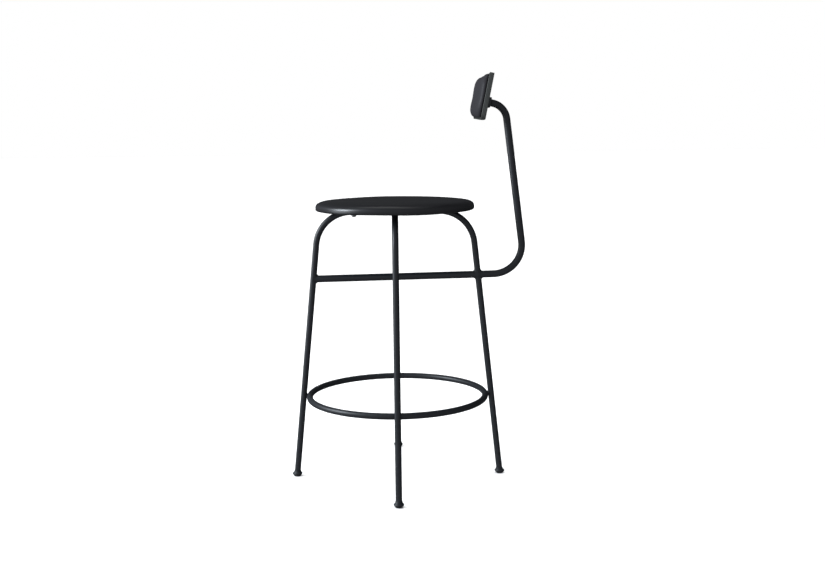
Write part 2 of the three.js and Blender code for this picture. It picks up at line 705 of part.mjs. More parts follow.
const bracketWeldProfile = [
  [STEM_TUBE_R + GAP, 0],
  [BRACKET_WELD_R, 0],
  [STEM_TUBE_R + GAP + BRACKET_WELD_LIP, BRACKET_WELD_HEIGHT],
  [STEM_TUBE_R + GAP, BRACKET_WELD_HEIGHT],
  [STEM_TUBE_R + GAP, 0],
];
const bracketWeld = add("stem_bracket_weld", turned(bracketWeldProfile, 20), COATED_STEEL(), backrest);
bracketWeld.rotation.x = -Math.PI / 2;
bracketWeld.position.y = stemEndDistance;

for (const [side, x] of Object.entries(backScrewXs)) {
  const headY = stemEndDistance;
  const shank = headY + teeSeatDepth + TEE_FLANGE_THICKNESS;
  const screw = add(
    `back_screw_${side}`,
    buttonScrew(BACK_SCREW_R, BACK_SCREW_HEAD_R, shank),
    BLACK_SCREW(),
    backrest,
  );
  screw.rotation.x = Math.PI / 2;
  screw.position.set(x, headY, 0);
  const nutBody = teeNut(BACK_SCREW_R + GAP, SHELL_THICKNESS - 2 * TEE_WALL);
  const nut = add(`back_tee_nut_${side}`, nutBody, ZINC_STEEL(), backrest);
  nut.rotation.x = Math.PI / 2;
  nut.position.set(x, -teeSeatDepth, 0);
}

backrest.rotation.x = -BACK_LEAN;
backrest.position.copy(backOrigin);
stool.add(backrest);

// Move the stool so that the origin is under the middle of its bounding box.
const bounds = new THREE.Box3().setFromObject(stool, true);
const middle = bounds.getCenter(vec(0, 0, 0));
stool.position.set(-middle.x, -middle.y, -bounds.min.z);

export default stool;
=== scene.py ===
"""A counter-height stool with a ring footrest and a padded backrest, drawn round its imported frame.

Metres, +Z up, the sitter faces -Y. Places and most sizes come from the frame's boxes.
"""
import math
import random

import bmesh
import bpy
import numpy as np
from mathutils import Matrix, Vector
from mathutils.kdtree import KDTree


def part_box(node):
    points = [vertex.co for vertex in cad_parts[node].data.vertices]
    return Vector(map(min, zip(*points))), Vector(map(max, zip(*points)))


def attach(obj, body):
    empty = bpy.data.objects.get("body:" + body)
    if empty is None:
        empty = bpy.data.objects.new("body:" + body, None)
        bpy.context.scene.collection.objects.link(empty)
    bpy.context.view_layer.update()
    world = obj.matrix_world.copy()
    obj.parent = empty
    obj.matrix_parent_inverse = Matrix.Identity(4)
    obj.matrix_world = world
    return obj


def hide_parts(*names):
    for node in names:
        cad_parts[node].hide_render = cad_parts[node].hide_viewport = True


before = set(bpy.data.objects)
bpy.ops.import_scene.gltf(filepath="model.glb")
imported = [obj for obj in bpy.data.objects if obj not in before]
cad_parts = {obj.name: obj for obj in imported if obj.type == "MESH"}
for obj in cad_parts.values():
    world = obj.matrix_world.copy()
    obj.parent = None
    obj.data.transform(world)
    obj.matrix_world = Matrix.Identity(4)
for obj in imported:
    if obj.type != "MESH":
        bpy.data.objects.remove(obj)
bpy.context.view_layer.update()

MM = 0.001
GAP = 0.3 * MM

# ---- Driving sizes that a box can't give ----

TUBE_WALL = 1.5 * MM
TUBE_SIDES = 40
BEND_STEPS = 20
SHARP_ANGLE = 38
RING_STEPS = 200
RING_VENT_R = 2.5 * MM

LEG_SPLAY = math.radians(6)
LEG_BEND_R = 80 * MM
FLANGE_MIDDLE_Z = 6.2 * MM
TUBE_END_Z = 8 * MM

# Half sections of a foot's flange and glide, as (radius, height, corner radius) in millimetres.
FLANGE_SECTION = [
    (0, 5.4, 0),
    (11.3, 5.4, 0.6),
    (11.3, 7.1, 0.7),
    (8.4, 10, 1.3),
    (7.5, 13.5, 0.4),
    (7.1, 13.7, 0),
    (5.8, 13.7, 0),
]
GLIDE_SECTION = [
    (0, 0, 0),
    (6.6, 0, 0.5),
    (9.1, 2.6, 0.8),
    (10.9, 4.7, 0.5),
    (10.7, 5.1, 0.2),
    (4, 5.1, 0),
    (4, 13.5, 0.5),
    (0, 14, 0),
]

BAR_RISE = math.radians(0.9)
BAR_OVERRUN = 2 * MM
STEM_LEAN = math.radians(6.9)
STEM_FOOT_BEND_R = 65 * MM
STEM_TOP_BEND_R = 40 * MM

WELD_SIZE = 3.4 * MM
WELD_RIPPLE = 0.09
WELD_PITCH = 1.5 * MM
WELD_ROOT = 0.7 * MM
WELD_TOE = 0.5 * MM
RING_WELD_R = 6 * MM
RING_WELD_RIPPLE = 0.03
RING_WELD_RIPPLES = 14
RING_WELD_WAIST = 0.2

SEAT_SCREW_R = 3 * MM
SEAT_SCREW_HEAD_R = 5 * MM
BACK_SCREW_R = 2.5 * MM
BACK_SCREW_HEAD_R = 4.6 * MM
SCREW_HEAD_HEIGHT = 2.8 * MM
SCREW_SOCKET_DEPTH = 1.6 * MM
SCREW_SOCKET_SHARE = 0.36
SCREW_DOME_START = math.radians(18)
SCREW_DOME_END = math.radians(82)
SCREW_TIP = 0.6 * MM
SCREW_WORN_Z = -1.9 * MM
WASHER_BORE_R = 3.3 * MM
WASHER_EASE = 0.2 * MM

# A staple's wire from leg to leg, as (along, up) in millimetres.
STAPLE_LINE = [(-5, 2.2), (-5, 0.5), (-4.4, 0), (0, -0.1), (4.4, 0), (5, 0.5), (5, 2.2)]
STAPLE_COUNT = 30
STAPLE_WIRE_R = 0.35 * MM
STAPLE_FLATTENED = 1.6
STAPLE_MARGIN = 5 * MM
STAPLE_DROP = 0.45 * MM

CROWN_RADIAL_POWER = 12
CROWN_HEIGHT_POWER = 3.25
SEAT_WIDEST_DROP = 18.5 * MM
SEAT_SEGMENTS = 288
SEAT_RIM_SHARE = 0.88
# In millimetres: where the leather turns under the rim, as (inset, drop) from the widest line, and where it
# ends in a hem on the board, as (outset, drop) from the hem's inner edge.
SEAT_TURN_UNDER = [(0, 0), (0.7, 2), (2.8, 3.4), (7, 3.8)]
SEAT_HEM_INSET = 15 * MM
SEAT_HEM_DROP = 3.6 * MM
SEAT_HEM_END = [(1.2, 2.3), (0, 1.5), (0.3, 0)]
SEAT_GATHERS = 70
SEAT_GATHER_HEIGHT = 0.75 * MM
SEAT_UNEVEN = 0.12 * MM
SEAT_CLOTH_INSET = 2.2 * MM
SEAT_CLOTH_VOXEL = 5 * MM
SEAT_CLOTH_CAP = 6 * MM
SEAT_COARSENED = 3
SEAT_SWELL_WAVES = 8
DUST_COVER_SAG = 0.9 * MM
DUST_COVER_PUCKER = 0.15 * MM

BACK_LEAN = math.radians(11.4)
BACK_CURVE_R = 1286 * MM
SHELL_ABOVE_STEM = 61.2 * MM
SHELL_BELOW_STEM = 40.2 * MM
SHELL_TOP_ARCH = 3 * MM
SHELL_BOTTOM_ARCH = 1.2 * MM
SHELL_THICKNESS = 10 * MM
SHELL_CORNER_R = 11.5 * MM
SHELL_EASE = 0.9 * MM
SHELL_PLIES = 7
PAD_INSET = 4 * MM
PAD_THICKNESS = 13 * MM
PAD_CORNER_R = 28 * MM
PAD_CROWN = 2 * MM
PAD_EASE_WIDTH = 16 * MM
PAD_EASE_DEPTH = 10.7 * MM
PAD_TUCK = 2.6 * MM
PAD_GATHER_BAND = 6 * MM
PAD_GATHER_HEIGHT = 0.3 * MM
PAD_CLOTH_VOXEL = 3.5 * MM
PAD_CLOTH_CAP = 4 * MM
PAD_CLOTH_SHARE = 0.35

CLOTH = {
    "quality": 6,
    "mass": 0.25,
    "tension_stiffness": 12,
    "compression_stiffness": 12,
    "shear_stiffness": 6,
    "bending_stiffness": 1.5,
    "use_pressure": True,
    "uniform_pressure_force": 4,
    "vertex_group_mass": "pinned",
}
CLOTH_FRAMES = 20

BRACKET_THICKNESS = 6.5 * MM
BRACKET_HEIGHT = 23 * MM
BRACKET_EASE = 0.7 * MM
BRACKET_WELD = 1.8 * MM
BACK_SCREW_PAST_SHELL = 1.7 * MM

SIDES = {
    "front": Vector((0, -1, 0)),
    "rear": Vector((0, 1, 0)),
    "left": Vector((-1, 0, 0)),
    "right": Vector((1, 0, 0)),
}
UP = Vector((0, 0, 1))
ACROSS = Vector((1, 0, 0))
BACKWARD = Vector((0, 1, 0))

CAMERA_PLACE = (2.5534, -0.0203, 0.7974)
CAMERA_HEADING = math.radians(89.242)
CAMERA_PITCH = math.radians(90 - 8.054)
CAMERA_ROLL = math.radians(-0.70)
CAMERA_LENS = 49.70
CAMERA_SENSOR = 36

WHITE = (1, 1, 1, 1)
GLOW_COLOUR = (0.90, 0.93, 1.0, 1)
GLOW_FROM = (0.90, -0.40, 0.0)
GLOW_RANGE = {"From Min": -1.0, "From Max": 0.9, "To Min": 0.03, "To Max": 0.44}
FLOOR_HALF = 30
FLOOR_LAMP = 3.9
FLOOR_LAMP_SPREAD = math.radians(100)
# Each panel is its place, its size, its power in watts and its colour.
PANELS = {
    "key": ((0.40, -2.4, 1.5), (0.95, 0.9), 62, (0.86, 0.93, 1.0)),
    "low_panel": ((0.30, -2.4, 0.55), (1.2, 1.1), 13, (0.88, 0.94, 1.0)),
    "overhead": ((-0.5, -0.3, 3.0), (1.6, 1.6), 7, (1, 1, 1)),
}
PANELS_AIM_Z = 0.6


# ---- Sizes and places read from the frame ----

def middle(node):
    low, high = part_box(node)
    return (low + high) / 2


def span(node):
    low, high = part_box(node)
    return high - low


TUBE_R = span("foot_ring").z / 2
RING_R = span("foot_ring").x / 2 - TUBE_R
RING_Z = middle("foot_ring").z
AXIS = Vector((0, middle("foot_ring").y, 0))
STEM_R = span("crossbar").x / 2
BAR_MIDDLE_Z = middle("crossbar").z
RUN_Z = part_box("seat_washer_front")[1].z + GAP + TUBE_R
FOOT_RADIUS = (middle("right_glide") - AXIS).x
SEAT_R = span("seat_cover").x / 2
SEAT_TOP_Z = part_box("seat_cover")[1].z
WIDEST_Z = SEAT_TOP_Z - SEAT_WIDEST_DROP
HEM_INNER_R = span("seat_dust_cover").x / 2 + 1 * MM
SHELL_HALF_WIDTH = span("back_shell").x / 2
SHELL_HALF_HEIGHT = (SHELL_ABOVE_STEM + SHELL_BELOW_STEM) / 2
SHELL_RISE = (SHELL_ABOVE_STEM - SHELL_BELOW_STEM) / 2


def leg_radius(z):
    return FOOT_RADIUS - (z - FLANGE_MIDDLE_Z) * math.tan(LEG_SPLAY)


def on_leg(side, z):
    """A point on the centreline of the straight part of a leg."""
    return AXIS + SIDES[side] * leg_radius(z) + UP * z


def leg_direction(side):
    return (on_leg(side, RUN_Z) - on_leg(side, 0)).normalized()


BAR_DIRECTION = Vector((0, math.cos(BAR_RISE), math.sin(BAR_RISE)))


def bar_at(y):
    """The point of the crossbar's line at a distance y behind the seat's axis."""
    return AXIS + Vector((0, y, BAR_MIDDLE_Z + y * math.tan(BAR_RISE)))


def bar_meets_leg(sign):
    lean = sign * math.tan(LEG_SPLAY) * math.tan(BAR_RISE)
    return bar_at(sign * leg_radius(BAR_MIDDLE_Z) / (1 + lean))


FRONT_JOINT = bar_meets_leg(-1)
REAR_JOINT = bar_meets_leg(1)


def crossing(point_a, direction_a, point_b, direction_b):
    """Where two lines of the middle plane cross."""
    matrix = np.array([[direction_a.y, -direction_b.y], [direction_a.z, -direction_b.z]])
    offset = point_b - point_a
    along = np.linalg.solve(matrix, np.array([offset.y, offset.z]))[0]
    return point_a + direction_a * along


# The stem's lower bend touches the back of the frame's box, which places its centre.
stem_back_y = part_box("back_stem")[1].y - STEM_R - STEM_FOOT_BEND_R - AXIS.y
foot_bend_centre = bar_at(stem_back_y) + UP * (STEM_FOOT_BEND_R / math.cos(BAR_RISE))
STEM_DIRECTION = Vector((0, -math.sin(STEM_LEAN), math.cos(STEM_LEAN)))
stem_point = foot_bend_centre + Vector((0, math.cos(STEM_LEAN), math.sin(STEM_LEAN))) * STEM_FOOT_BEND_R
STEM_LOW_CORNER = crossing(REAR_JOINT, BAR_DIRECTION, stem_point, STEM_DIRECTION)

# The backrest is drawn upright about the point where the stem's line meets the shell's back, then leaned.
BACK_TURN = Matrix.Rotation(-BACK_LEAN, 4, "X")
BACK_FORWARD = BACK_TURN.to_3x3() @ Vector((0, -1, 0))
BACK_ORIGIN = middle("back_bracket") + BACK_FORWARD * (GAP + BRACKET_THICKNESS / 2)
BACK = Matrix.Translation(BACK_ORIGIN) @ BACK_TURN
STEM_HIGH_CORNER = crossing(BACK_ORIGIN, BACK_FORWARD, stem_point, STEM_DIRECTION)
STEM_END_DISTANCE = BRACKET_THICKNESS + 2 * GAP


# ---- Materials ----

def add_node(tree, kind, inputs, output=0, **settings):
    """One shader node's output. An input is a value or another node's output."""
    node = tree.nodes.new("ShaderNode" + kind)
    for key, value in settings.items():
        setattr(node, key, value)
    for key, value in inputs.items():
        if isinstance(value, bpy.types.NodeSocket):
            tree.links.new(value, node.inputs[key])
        else:
            node.inputs[key].default_value = value
    return node.outputs[output]


class Recipe:
    """A Principled material, with short ways to add nodes behind its sockets."""

    def __init__(self, name, **sockets):
        self.material = bpy.data.materials.new(name)
        self.material.use_nodes = True
        self.tree = self.material.node_tree
        self.shader = self.tree.nodes["Principled BSDF"]
        for socket, value in sockets.items():
            self.shader.inputs[socket.replace("_", " ")].default_value = value

    def add(self, kind, inputs, output=0, **settings):
        return add_node(self.tree, kind, inputs, output, **settings)

    def place(self, stretch=(1, 1, 1)):
        """Object coordinates in metres, stretched."""
        coordinates = self.add("TexCoord", {}, output="Object")
        return self.add("Mapping", {"Vector": coordinates, "Scale": stretch})

    def noise(self, scale, detail=2.0, roughness=0.5, vector=None, distortion=0.0):
        inputs = {"Vector": vector or self.place(), "Scale": scale, "Detail": detail}
        return self.add("TexNoise", {**inputs, "Roughness": roughness, "Distortion": distortion})

    def cells(self, scale, vector, feature="F1"):
        inputs = {"Vector": vector, "Scale": scale}
        return self.add("TexVoronoi", inputs, output="Distance", feature=feature)

    def warped(self, amount, scale):
        """Object coordinates, pushed about by a noise."""
        push = self.add("TexNoise", {"Vector": self.place(), "Scale": scale}, output="Color")
        centred = self.add("VectorMath", {0: push, 1: (0.5, 0.5, 0.5)}, operation="SUBTRACT")
        scaled = self.add("VectorMath", {0: centred, "Scale": amount}, operation="SCALE")
        return self.add("VectorMath", {0: self.place(), 1: scaled}, operation="ADD")

    def ranged(self, value, low, high, to_low=0.0, to_high=1.0):
        inputs = {"Value": value, "From Min": low, "From Max": high, "To Min": to_low, "To Max": to_high}
        return self.add("MapRange", inputs)

    def math(self, operation, a, b=0.0):
        return self.add("Math", {0: a, 1: b}, operation=operation)

    def plus(self, a, b):
        return self.math("ADD", a, b)

    def times(self, a, b):
        return self.math("MULTIPLY", a, b)

    def mixed(self, factor, colour_a, colour_b):
        inputs = {0: factor, 6: as_colour(colour_a), 7: as_colour(colour_b)}
        return self.add("Mix", inputs, output=2, data_type="RGBA")

    def attribute(self, name):
        return self.add("Attribute", {}, output="Fac", attribute_name=name)

    def bump(self, height, strength, distance, under=None):
        inputs = {"Height": height, "Strength": strength, "Distance": distance}
        if under:
            inputs["Normal"] = under
        return self.add("Bump", inputs)

    def finish(self, colour, roughness, normal):
        for socket, value in (("Base Color", colour), ("Roughness", roughness), ("Normal", normal)):
            self.tree.links.new(value, self.shader.inputs[socket])
        return self.material


def as_colour(value):
    return value if isinstance(value, bpy.types.NodeSocket) else (*value, 1)


def powder_coat():
    """Satin blue-black powder coat: orange peel, and polished lighter where shoes and hands rub it."""
    made = Recipe("powder_coat", Specular_IOR_Level=0.5)
    cloud = made.noise(38, detail=3)
    fleck = made.noise(2600, detail=1)
    wear_and_painted_highlight = made.times(made.attribute("wear_and_painted_highlight"), made.ranged(made.noise(160, detail=5), 0.4, 0.62))
    base = made.mixed(cloud, (0.0110, 0.0130, 0.0165), (0.0160, 0.0185, 0.0230))
    base = made.mixed(made.ranged(fleck, 0.62, 0.8, 0, 0.3), base, (0.045, 0.05, 0.056))
    base = made.mixed(made.ranged(wear_and_painted_highlight, 0, 1, 0, 0.65), base, (0.075, 0.078, 0.082))
    rough = made.ranged(made.noise(70, detail=4), 0.25, 0.75, 0.36, 0.50)
    rough = made.math("SUBTRACT", rough, made.times(wear_and_painted_highlight, 0.1))
    peel = made.bump(made.noise(820, detail=2), 0.22, 0.12 * MM)
    return made.finish(base, rough, made.bump(made.noise(150, detail=2), 0.10, 0.30 * MM, peel))


def leather(name, colours, rough_range, shine, gloss):
    """Smooth full-grain leather: fine pebbles, pores, faint stretch lines, and a lighter band from the wear
    mask: a burnished rim on the seat, a painted highlight along the back cushion's ridge.
    """
    made = Recipe(name, Specular_IOR_Level=shine, Coat_Weight=gloss, Coat_Roughness=0.28)
    warp = made.warped(0.9 * MM, 420)
    pebble = made.cells(760, warp, feature="SMOOTH_F1")
    crease = made.ranged(made.cells(330, warp, feature="DISTANCE_TO_EDGE"), 0, 0.12)
    pores = made.ranged(made.cells(1500, made.warped(0.4 * MM, 900)), 0.08, 0.3)
    cloud = made.noise(16, detail=4)
    wear_and_painted_highlight = made.attribute("wear_and_painted_highlight")
    base = made.mixed(cloud, *colours)
    base = made.mixed(made.ranged(pores, 0, 1, 0.45, 0), base, (0.004, 0.004, 0.005))
    # Lightens the colour where the wear mask is set: real wear on the seat's rim, a painted highlight on the
    # back cushion's ridge.
    base = made.mixed(made.times(wear_and_painted_highlight, 0.35), base, (0.050, 0.050, 0.055))
    rough = made.ranged(made.noise(45, detail=5), 0.25, 0.75, *rough_range)
    rough = made.plus(rough, made.ranged(crease, 0, 1, 0.10, 0))
    height = made.plus(made.times(pebble, 0.7), made.times(crease, 0.35))
    height = made.plus(height, made.times(pores, 0.3))
    grain = made.bump(height, 0.35, 0.10 * MM)
    slack = made.noise(55, detail=3, distortion=0.6)
    return made.finish(base, rough, made.bump(slack, 0.12, 0.8 * MM, grain))


def stained_ply():
    """Dark stained plywood: long veneer grain on the faces, layered plies on the edge."""
    made = Recipe("stained_ply", Specular_IOR_Level=0.45, Coat_Weight=0.15, Coat_Roughness=0.35)
    stretch = made.place((9, 60, 120))
    grain = made.noise(3.2, detail=6, roughness=0.62, vector=stretch, distortion=1.2)
    pores = made.ranged(made.noise(9, detail=3, vector=made.place((14, 200, 420))), 0.56, 0.66)
    depth = made.attribute("depth")
    edge = made.attribute("edge")
    uneven = made.times(made.noise(60, detail=3), 0.05)
    wave = made.math("SINE", made.times(made.plus(depth, uneven), math.pi * SHELL_PLIES))
    ply = made.ranged(wave, -0.5, 0.5)
    end_grain = made.noise(1400, detail=3)
    face = made.mixed(made.ranged(grain, 0.3, 0.7), (0.016, 0.018, 0.017), (0.040, 0.043, 0.039))
    face = made.mixed(made.times(pores, 0.6), face, (0.008, 0.008, 0.008))
    side = made.mixed(ply, (0.062, 0.065, 0.061), (0.130, 0.138, 0.128))
    side = made.mixed(made.ranged(end_grain, 0.45, 0.75, 0, 0.5), side, (0.014, 0.015, 0.014))
    base = made.mixed(edge, face, side)
    base = made.mixed(made.times(made.attribute("wear_and_painted_highlight"), 0.3), base, (0.12, 0.11, 0.09))
    rough = made.ranged(grain, 0.3, 0.7, 0.42, 0.56)
    rough = made.plus(rough, made.times(edge, 0.08))
    height = made.math("SUBTRACT", grain, made.times(pores, 0.6))
    layers = made.bump(made.times(ply, edge), 0.35, 0.12 * MM)
    return made.finish(base, rough, made.bump(height, 0.25, 0.12 * MM, layers))


def plywood():
    """Raw plywood inside the seat."""
    made = Recipe("plywood", Specular_IOR_Level=0.3)
    grain = made.noise(4, detail=5, roughness=0.6, vector=made.place((6, 70, 90)), distortion=0.8)
    height = made.add("SeparateXYZ", {0: made.place()}, output="Z")
    wave = made.math("SINE", made.times(height, 2 * math.pi / (2.6 * MM)))
    layers = made.ranged(wave, -0.4, 0.4)
    base = made.mixed(made.ranged(grain, 0.3, 0.7), (0.34, 0.22, 0.12), (0.52, 0.38, 0.22))
    base = made.mixed(made.times(layers, 0.35), base, (0.25, 0.16, 0.09))
    return made.finish(base, made.ranged(grain, 0.3, 0.7, 0.6, 0.8), made.bump(grain, 0.3, 0.2 * MM))


def moulded_nylon():
    """Matt black nylon with fine mould lines and scuffs."""
    made = Recipe("moulded_nylon", Specular_IOR_Level=0.4)
    scuff = made.ranged(made.noise(420, detail=6, roughness=0.7), 0.52, 0.7)
    scuff = made.times(scuff, made.attribute("wear_and_painted_highlight"))
    base = made.mixed(made.noise(300), (0.008, 0.008, 0.009), (0.014, 0.014, 0.016))
    base = made.mixed(made.times(scuff, 0.5), base, (0.07, 0.07, 0.07))
    rough = made.ranged(made.noise(900, detail=3), 0.3, 0.7, 0.48, 0.64)
    lines = made.noise(6, detail=2, vector=made.place((20, 20, 900)))
    return made.finish(base, rough, made.bump(lines, 0.12, 0.1 * MM))


def zinc_plate():
    """Bright zinc, finely brushed and a little clouded."""
    made = Recipe("zinc_plate", Metallic=1.0)
    brush = made.noise(5, detail=3, vector=made.place((1800, 160, 160)))
    cloud = made.noise(240, detail=4)
    base = made.mixed(cloud, (0.42, 0.43, 0.45), (0.60, 0.61, 0.62))
    rough = made.ranged(made.plus(brush, cloud), 0.7, 1.3, 0.28, 0.46)
    return made.finish(base, rough, made.bump(brush, 0.15, 0.03 * MM))


def black_oxide():
    """Blackened steel with bright worn edges round the socket."""
    made = Recipe("black_oxide", Metallic=0.9)
    cloud = made.noise(500, detail=4)
    wear_and_painted_highlight = made.times(made.attribute("wear_and_painted_highlight"), made.ranged(made.noise(900, detail=3), 0.4, 0.6))
    base = made.mixed(cloud, (0.018, 0.018, 0.019), (0.032, 0.032, 0.034))
    base = made.mixed(made.times(wear_and_painted_highlight, 0.6), base, (0.22, 0.21, 0.20))
    rough = made.ranged(cloud, 0.3, 0.7, 0.30, 0.44)
    return made.finish(base, rough, made.bump(made.noise(1500), 0.15, 0.03 * MM))


def spunbond():
    """Black non-woven cloth: pressed dots and loose fibres."""
    made = Recipe("spunbond", Specular_IOR_Level=0.2, Sheen_Weight=0.25, Sheen_Roughness=0.5)
    dots = made.ranged(made.cells(520, made.place()), 0.1, 0.35)
    fibre_a = made.noise(6, detail=4, vector=made.place((60, 900, 300)), distortion=1.5)
    fibre_b = made.noise(6, detail=4, vector=made.place((900, 60, 300)), distortion=1.5)
    fibres = made.math("MAXIMUM", fibre_a, fibre_b)
    base = made.mixed(made.ranged(fibres, 0.45, 0.75), (0.008, 0.008, 0.009), (0.030, 0.030, 0.032))
    base = made.mixed(made.math("SUBTRACT", 1.0, dots), base, (0.005, 0.005, 0.005))
    height = made.plus(made.times(dots, 0.6), fibres)
    return made.finish(base, made.ranged(fibres, 0.3, 0.7, 0.82, 0.96), made.bump(height, 0.6, 0.15 * MM))


# Each finish is a material and the slot that it fills.
COAT = (powder_coat(), "frame_steel")
SEAT_BLACK = ((0.0044, 0.0047, 0.0060), (0.0070, 0.0075, 0.0095))
# The back leather is the seat's black leather painted several times lighter: a painted sheen that stands in
# for the light on the pad's face.
BACK_BLACK_PAINTED_SHEEN = ((0.0280, 0.0262, 0.0298), (0.0445, 0.0410, 0.0470))
SEAT_LEATHER = (leather("seat_leather_black", SEAT_BLACK, (0.27, 0.34), 0.34, 0.30), "seat_leather")
BACK_LEATHER = (leather("back_leather_painted_sheen", BACK_BLACK_PAINTED_SHEEN, (0.52, 0.62), 0.28, 0.0), "back_leather")
SHELL = (stained_ply(), "shell_wood")
NYLON = (moulded_nylon(), "glide_nylon")
ZINC = (zinc_plate(), "zinc_steel")
OXIDE = (black_oxide(), "screw_steel")
FELT = (spunbond(), "dust_felt")


# ---- Meshes ----

def polar(radius, angle, height=0.0):
    return Vector((radius * math.cos(angle), radius * math.sin(angle), height))


def circle(count):
    return [2 * math.pi * i / count for i in range(count)]


def shares(steps):
    """Even steps from 0 to 1."""
    return [step / steps for step in range(steps + 1)]


def bell(offset, width):
    """1 where there is no offset, falling to nothing a few widths away."""
    return np.exp(-((offset / width) ** 2))


def level_ring(radius, height, count=64):
    return [polar(radius, angle, height) for angle in circle(count)]


def round_ring(centre, side, up, radius, count=TUBE_SIDES):
    return [centre + (side * math.cos(a) + up * math.sin(a)) * radius for a in circle(count)]


def band(rows, count, closed=False):
    """Quads between neighbouring rows of points. Each row is a loop, and the rows join up if closed."""
    faces = []
    for i in range(rows if closed else rows - 1):
        low = i * count
        high = (i + 1) % rows * count
        for j in range(count):
            k = (j + 1) % count
            faces.append((low + j, low + k, high + k, high + j))
    return faces


def skin(rings, closed=False):
    """A mesh between rings of points, whose first and last are capped, or joined if closed."""
    count = len(rings[0])
    faces = band(len(rings), count, closed)
    if not closed:
        faces.append(tuple(range(count))[::-1])
        faces.append(tuple(range((len(rings) - 1) * count, len(rings) * count)))
    return [point for ring in rings for point in ring], faces


def new_mesh(name, verts, faces):
    mesh = bpy.data.meshes.new(name)
    mesh.from_pydata([tuple(v) for v in verts], [], faces)
    return mesh


def new_object(name, data):
    made = bpy.data.objects.new(name, data)
    bpy.context.scene.collection.objects.link(made)
    return made


def bake_modifiers(piece):
    """Puts the shape that the modifiers give into the mesh itself."""
    bpy.context.view_layer.update()
    shape = piece.evaluated_get(bpy.context.evaluated_depsgraph_get())
    piece.data = bpy.data.meshes.new_from_object(shape)
    piece.modifiers.clear()


def add_piece(name, mesh_data, finish, replaced=(), matrix=None, wear_and_painted_highlight=None, sharp=SHARP_ANGLE):
    """A new piece that rides on the stool, with smooth faces but for edges sharper than `sharp` degrees."""
    material, slot = finish
    verts, faces = mesh_data
    mesh = new_mesh(name, verts, faces)
    if wear_and_painted_highlight is not None:
        set_attribute(mesh, "wear_and_painted_highlight", [wear_and_painted_highlight(Vector(v)) for v in verts])
    if matrix:
        mesh.transform(matrix)
    tidy = bmesh.new()
    tidy.from_mesh(mesh)
    bmesh.ops.remove_doubles(tidy, verts=tidy.verts, dist=1e-7)
    bmesh.ops.recalc_face_normals(tidy, faces=tidy.faces)
    tidy.to_mesh(mesh)
    tidy.free()
    mesh.shade_smooth()
    mesh.set_sharp_from_angle(angle=math.radians(sharp))
    mesh.materials.append(material)
    piece = new_object(name, mesh)
    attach(piece, "root")
    if replaced:
        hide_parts(*replaced)
    return piece


def set_attribute(mesh, name, values):
    attribute = mesh.attributes.new(name, "FLOAT", "POINT")
    attribute.data.foreach_set("value", np.asarray(values, np.float32))


def turned(profile, segments=64):
    """A turned solid about +Z from (radius, height) pairs, with tiny flat ends on the axis."""
    return skin([level_ring(max(radius, 0.02 * MM), height, segments) for radius, height in profile])


def rounded_profile(section, steps=5):
    """A half section in metres from (radius, height, corner radius) in millimetres, its corners rounded."""
    points = []
    flat = [Vector((radius, height)) * MM for radius, height, _ in section]
    for i, (_, _, fillet) in enumerate(section):
        if fillet == 0:
            points.append(tuple(flat[i]))
            continue
        into = (flat[i - 1] - flat[i]).normalized() * fillet * MM
        away = (flat[i + 1] - flat[i]).normalized() * fillet * MM
        for t in shares(steps):
            points.append(tuple(flat[i] + into * (1 - t) ** 2 + away * t ** 2))
    return points


def smooth_line(points, steps):
    """A Catmull-Rom line through the points."""
    ends = [2 * points[0] - points[1], *points, 2 * points[-1] - points[-2]]
    line = []
    for a, b, c, d in zip(ends, ends[1:], ends[2:], ends[3:]):
        for step in range(steps):
            t = step / steps
            square = 2 * a - 5 * b + 4 * c - d
            cube = 3 * b - a - 3 * c + d
            line.append((2 * b + (c - a) * t + square * t ** 2 + cube * t ** 3) / 2)
    return [*line, points[-1]]


# ---- Tubes ----

def bent_path(start, corners, end):
    """(point, direction) stations along straight runs joined by round bends. A corner is (point, radius)."""
    line = [start, *[at for at, _ in corners], end]
    stations = [(start, (line[1] - start).normalized())]
    for i, (at, radius) in enumerate(corners):
        incoming = (at - line[i]).normalized()
        outgoing = (line[i + 2] - at).normalized()
        turn = incoming.angle(outgoing)
        inward = (outgoing - incoming * math.cos(turn)).normalized()
        centre = at - incoming * radius * math.tan(turn / 2) + inward * radius
        for share in shares(BEND_STEPS):
            angle = turn * share
            point = centre - inward * radius * math.cos(angle) + incoming * radius * math.sin(angle)
            stations.append((point, incoming * math.cos(angle) + inward * math.sin(angle)))
    stations.append((end, (end - line[-2]).normalized()))
    return stations


def tube_rings(stations, side, radius):
    return [round_ring(point, side, direction.cross(side), radius) for point, direction in stations]


def add_tube(name, stations, side, radius, node, wear_and_painted_highlight=None):
    """A tube wall with open ends. `side` is square to the plane that the tube is bent in."""
    outer = tube_rings(stations, side, radius)
    inner = tube_rings(stations, side, radius - TUBE_WALL)
    add_piece(name, skin(outer + inner[::-1], closed=True), COAT, [node], wear_and_painted_highlight=wear_and_painted_highlight)


def rub(height, spread, strength=1.0):
    """Wear that is strongest at one height."""
    return lambda v: strength * bell(v.z - height, spread)


def add_legs():
    corners = [(on_leg(side, RUN_Z), LEG_BEND_R) for side in ("front", "rear")]
    arch = bent_path(on_leg("front", TUBE_END_Z), corners, on_leg("rear", TUBE_END_Z))
    scuff = rub(0.05, 0.05, 0.5)
    add_tube("leg_arch", arch, ACROSS, TUBE_R, "front_rear_leg_frame", scuff)
    for side in ("left", "right"):
        inner_end = AXIS + UP * RUN_Z + SIDES[side] * (TUBE_R - TUBE_WALL)
        path = bent_path(on_leg(side, TUBE_END_Z), [(on_leg(side, RUN_Z), LEG_BEND_R)], inner_end)
        add_tube(f"leg_{side}", path, BACKWARD, TUBE_R, f"{side}_leg", scuff)


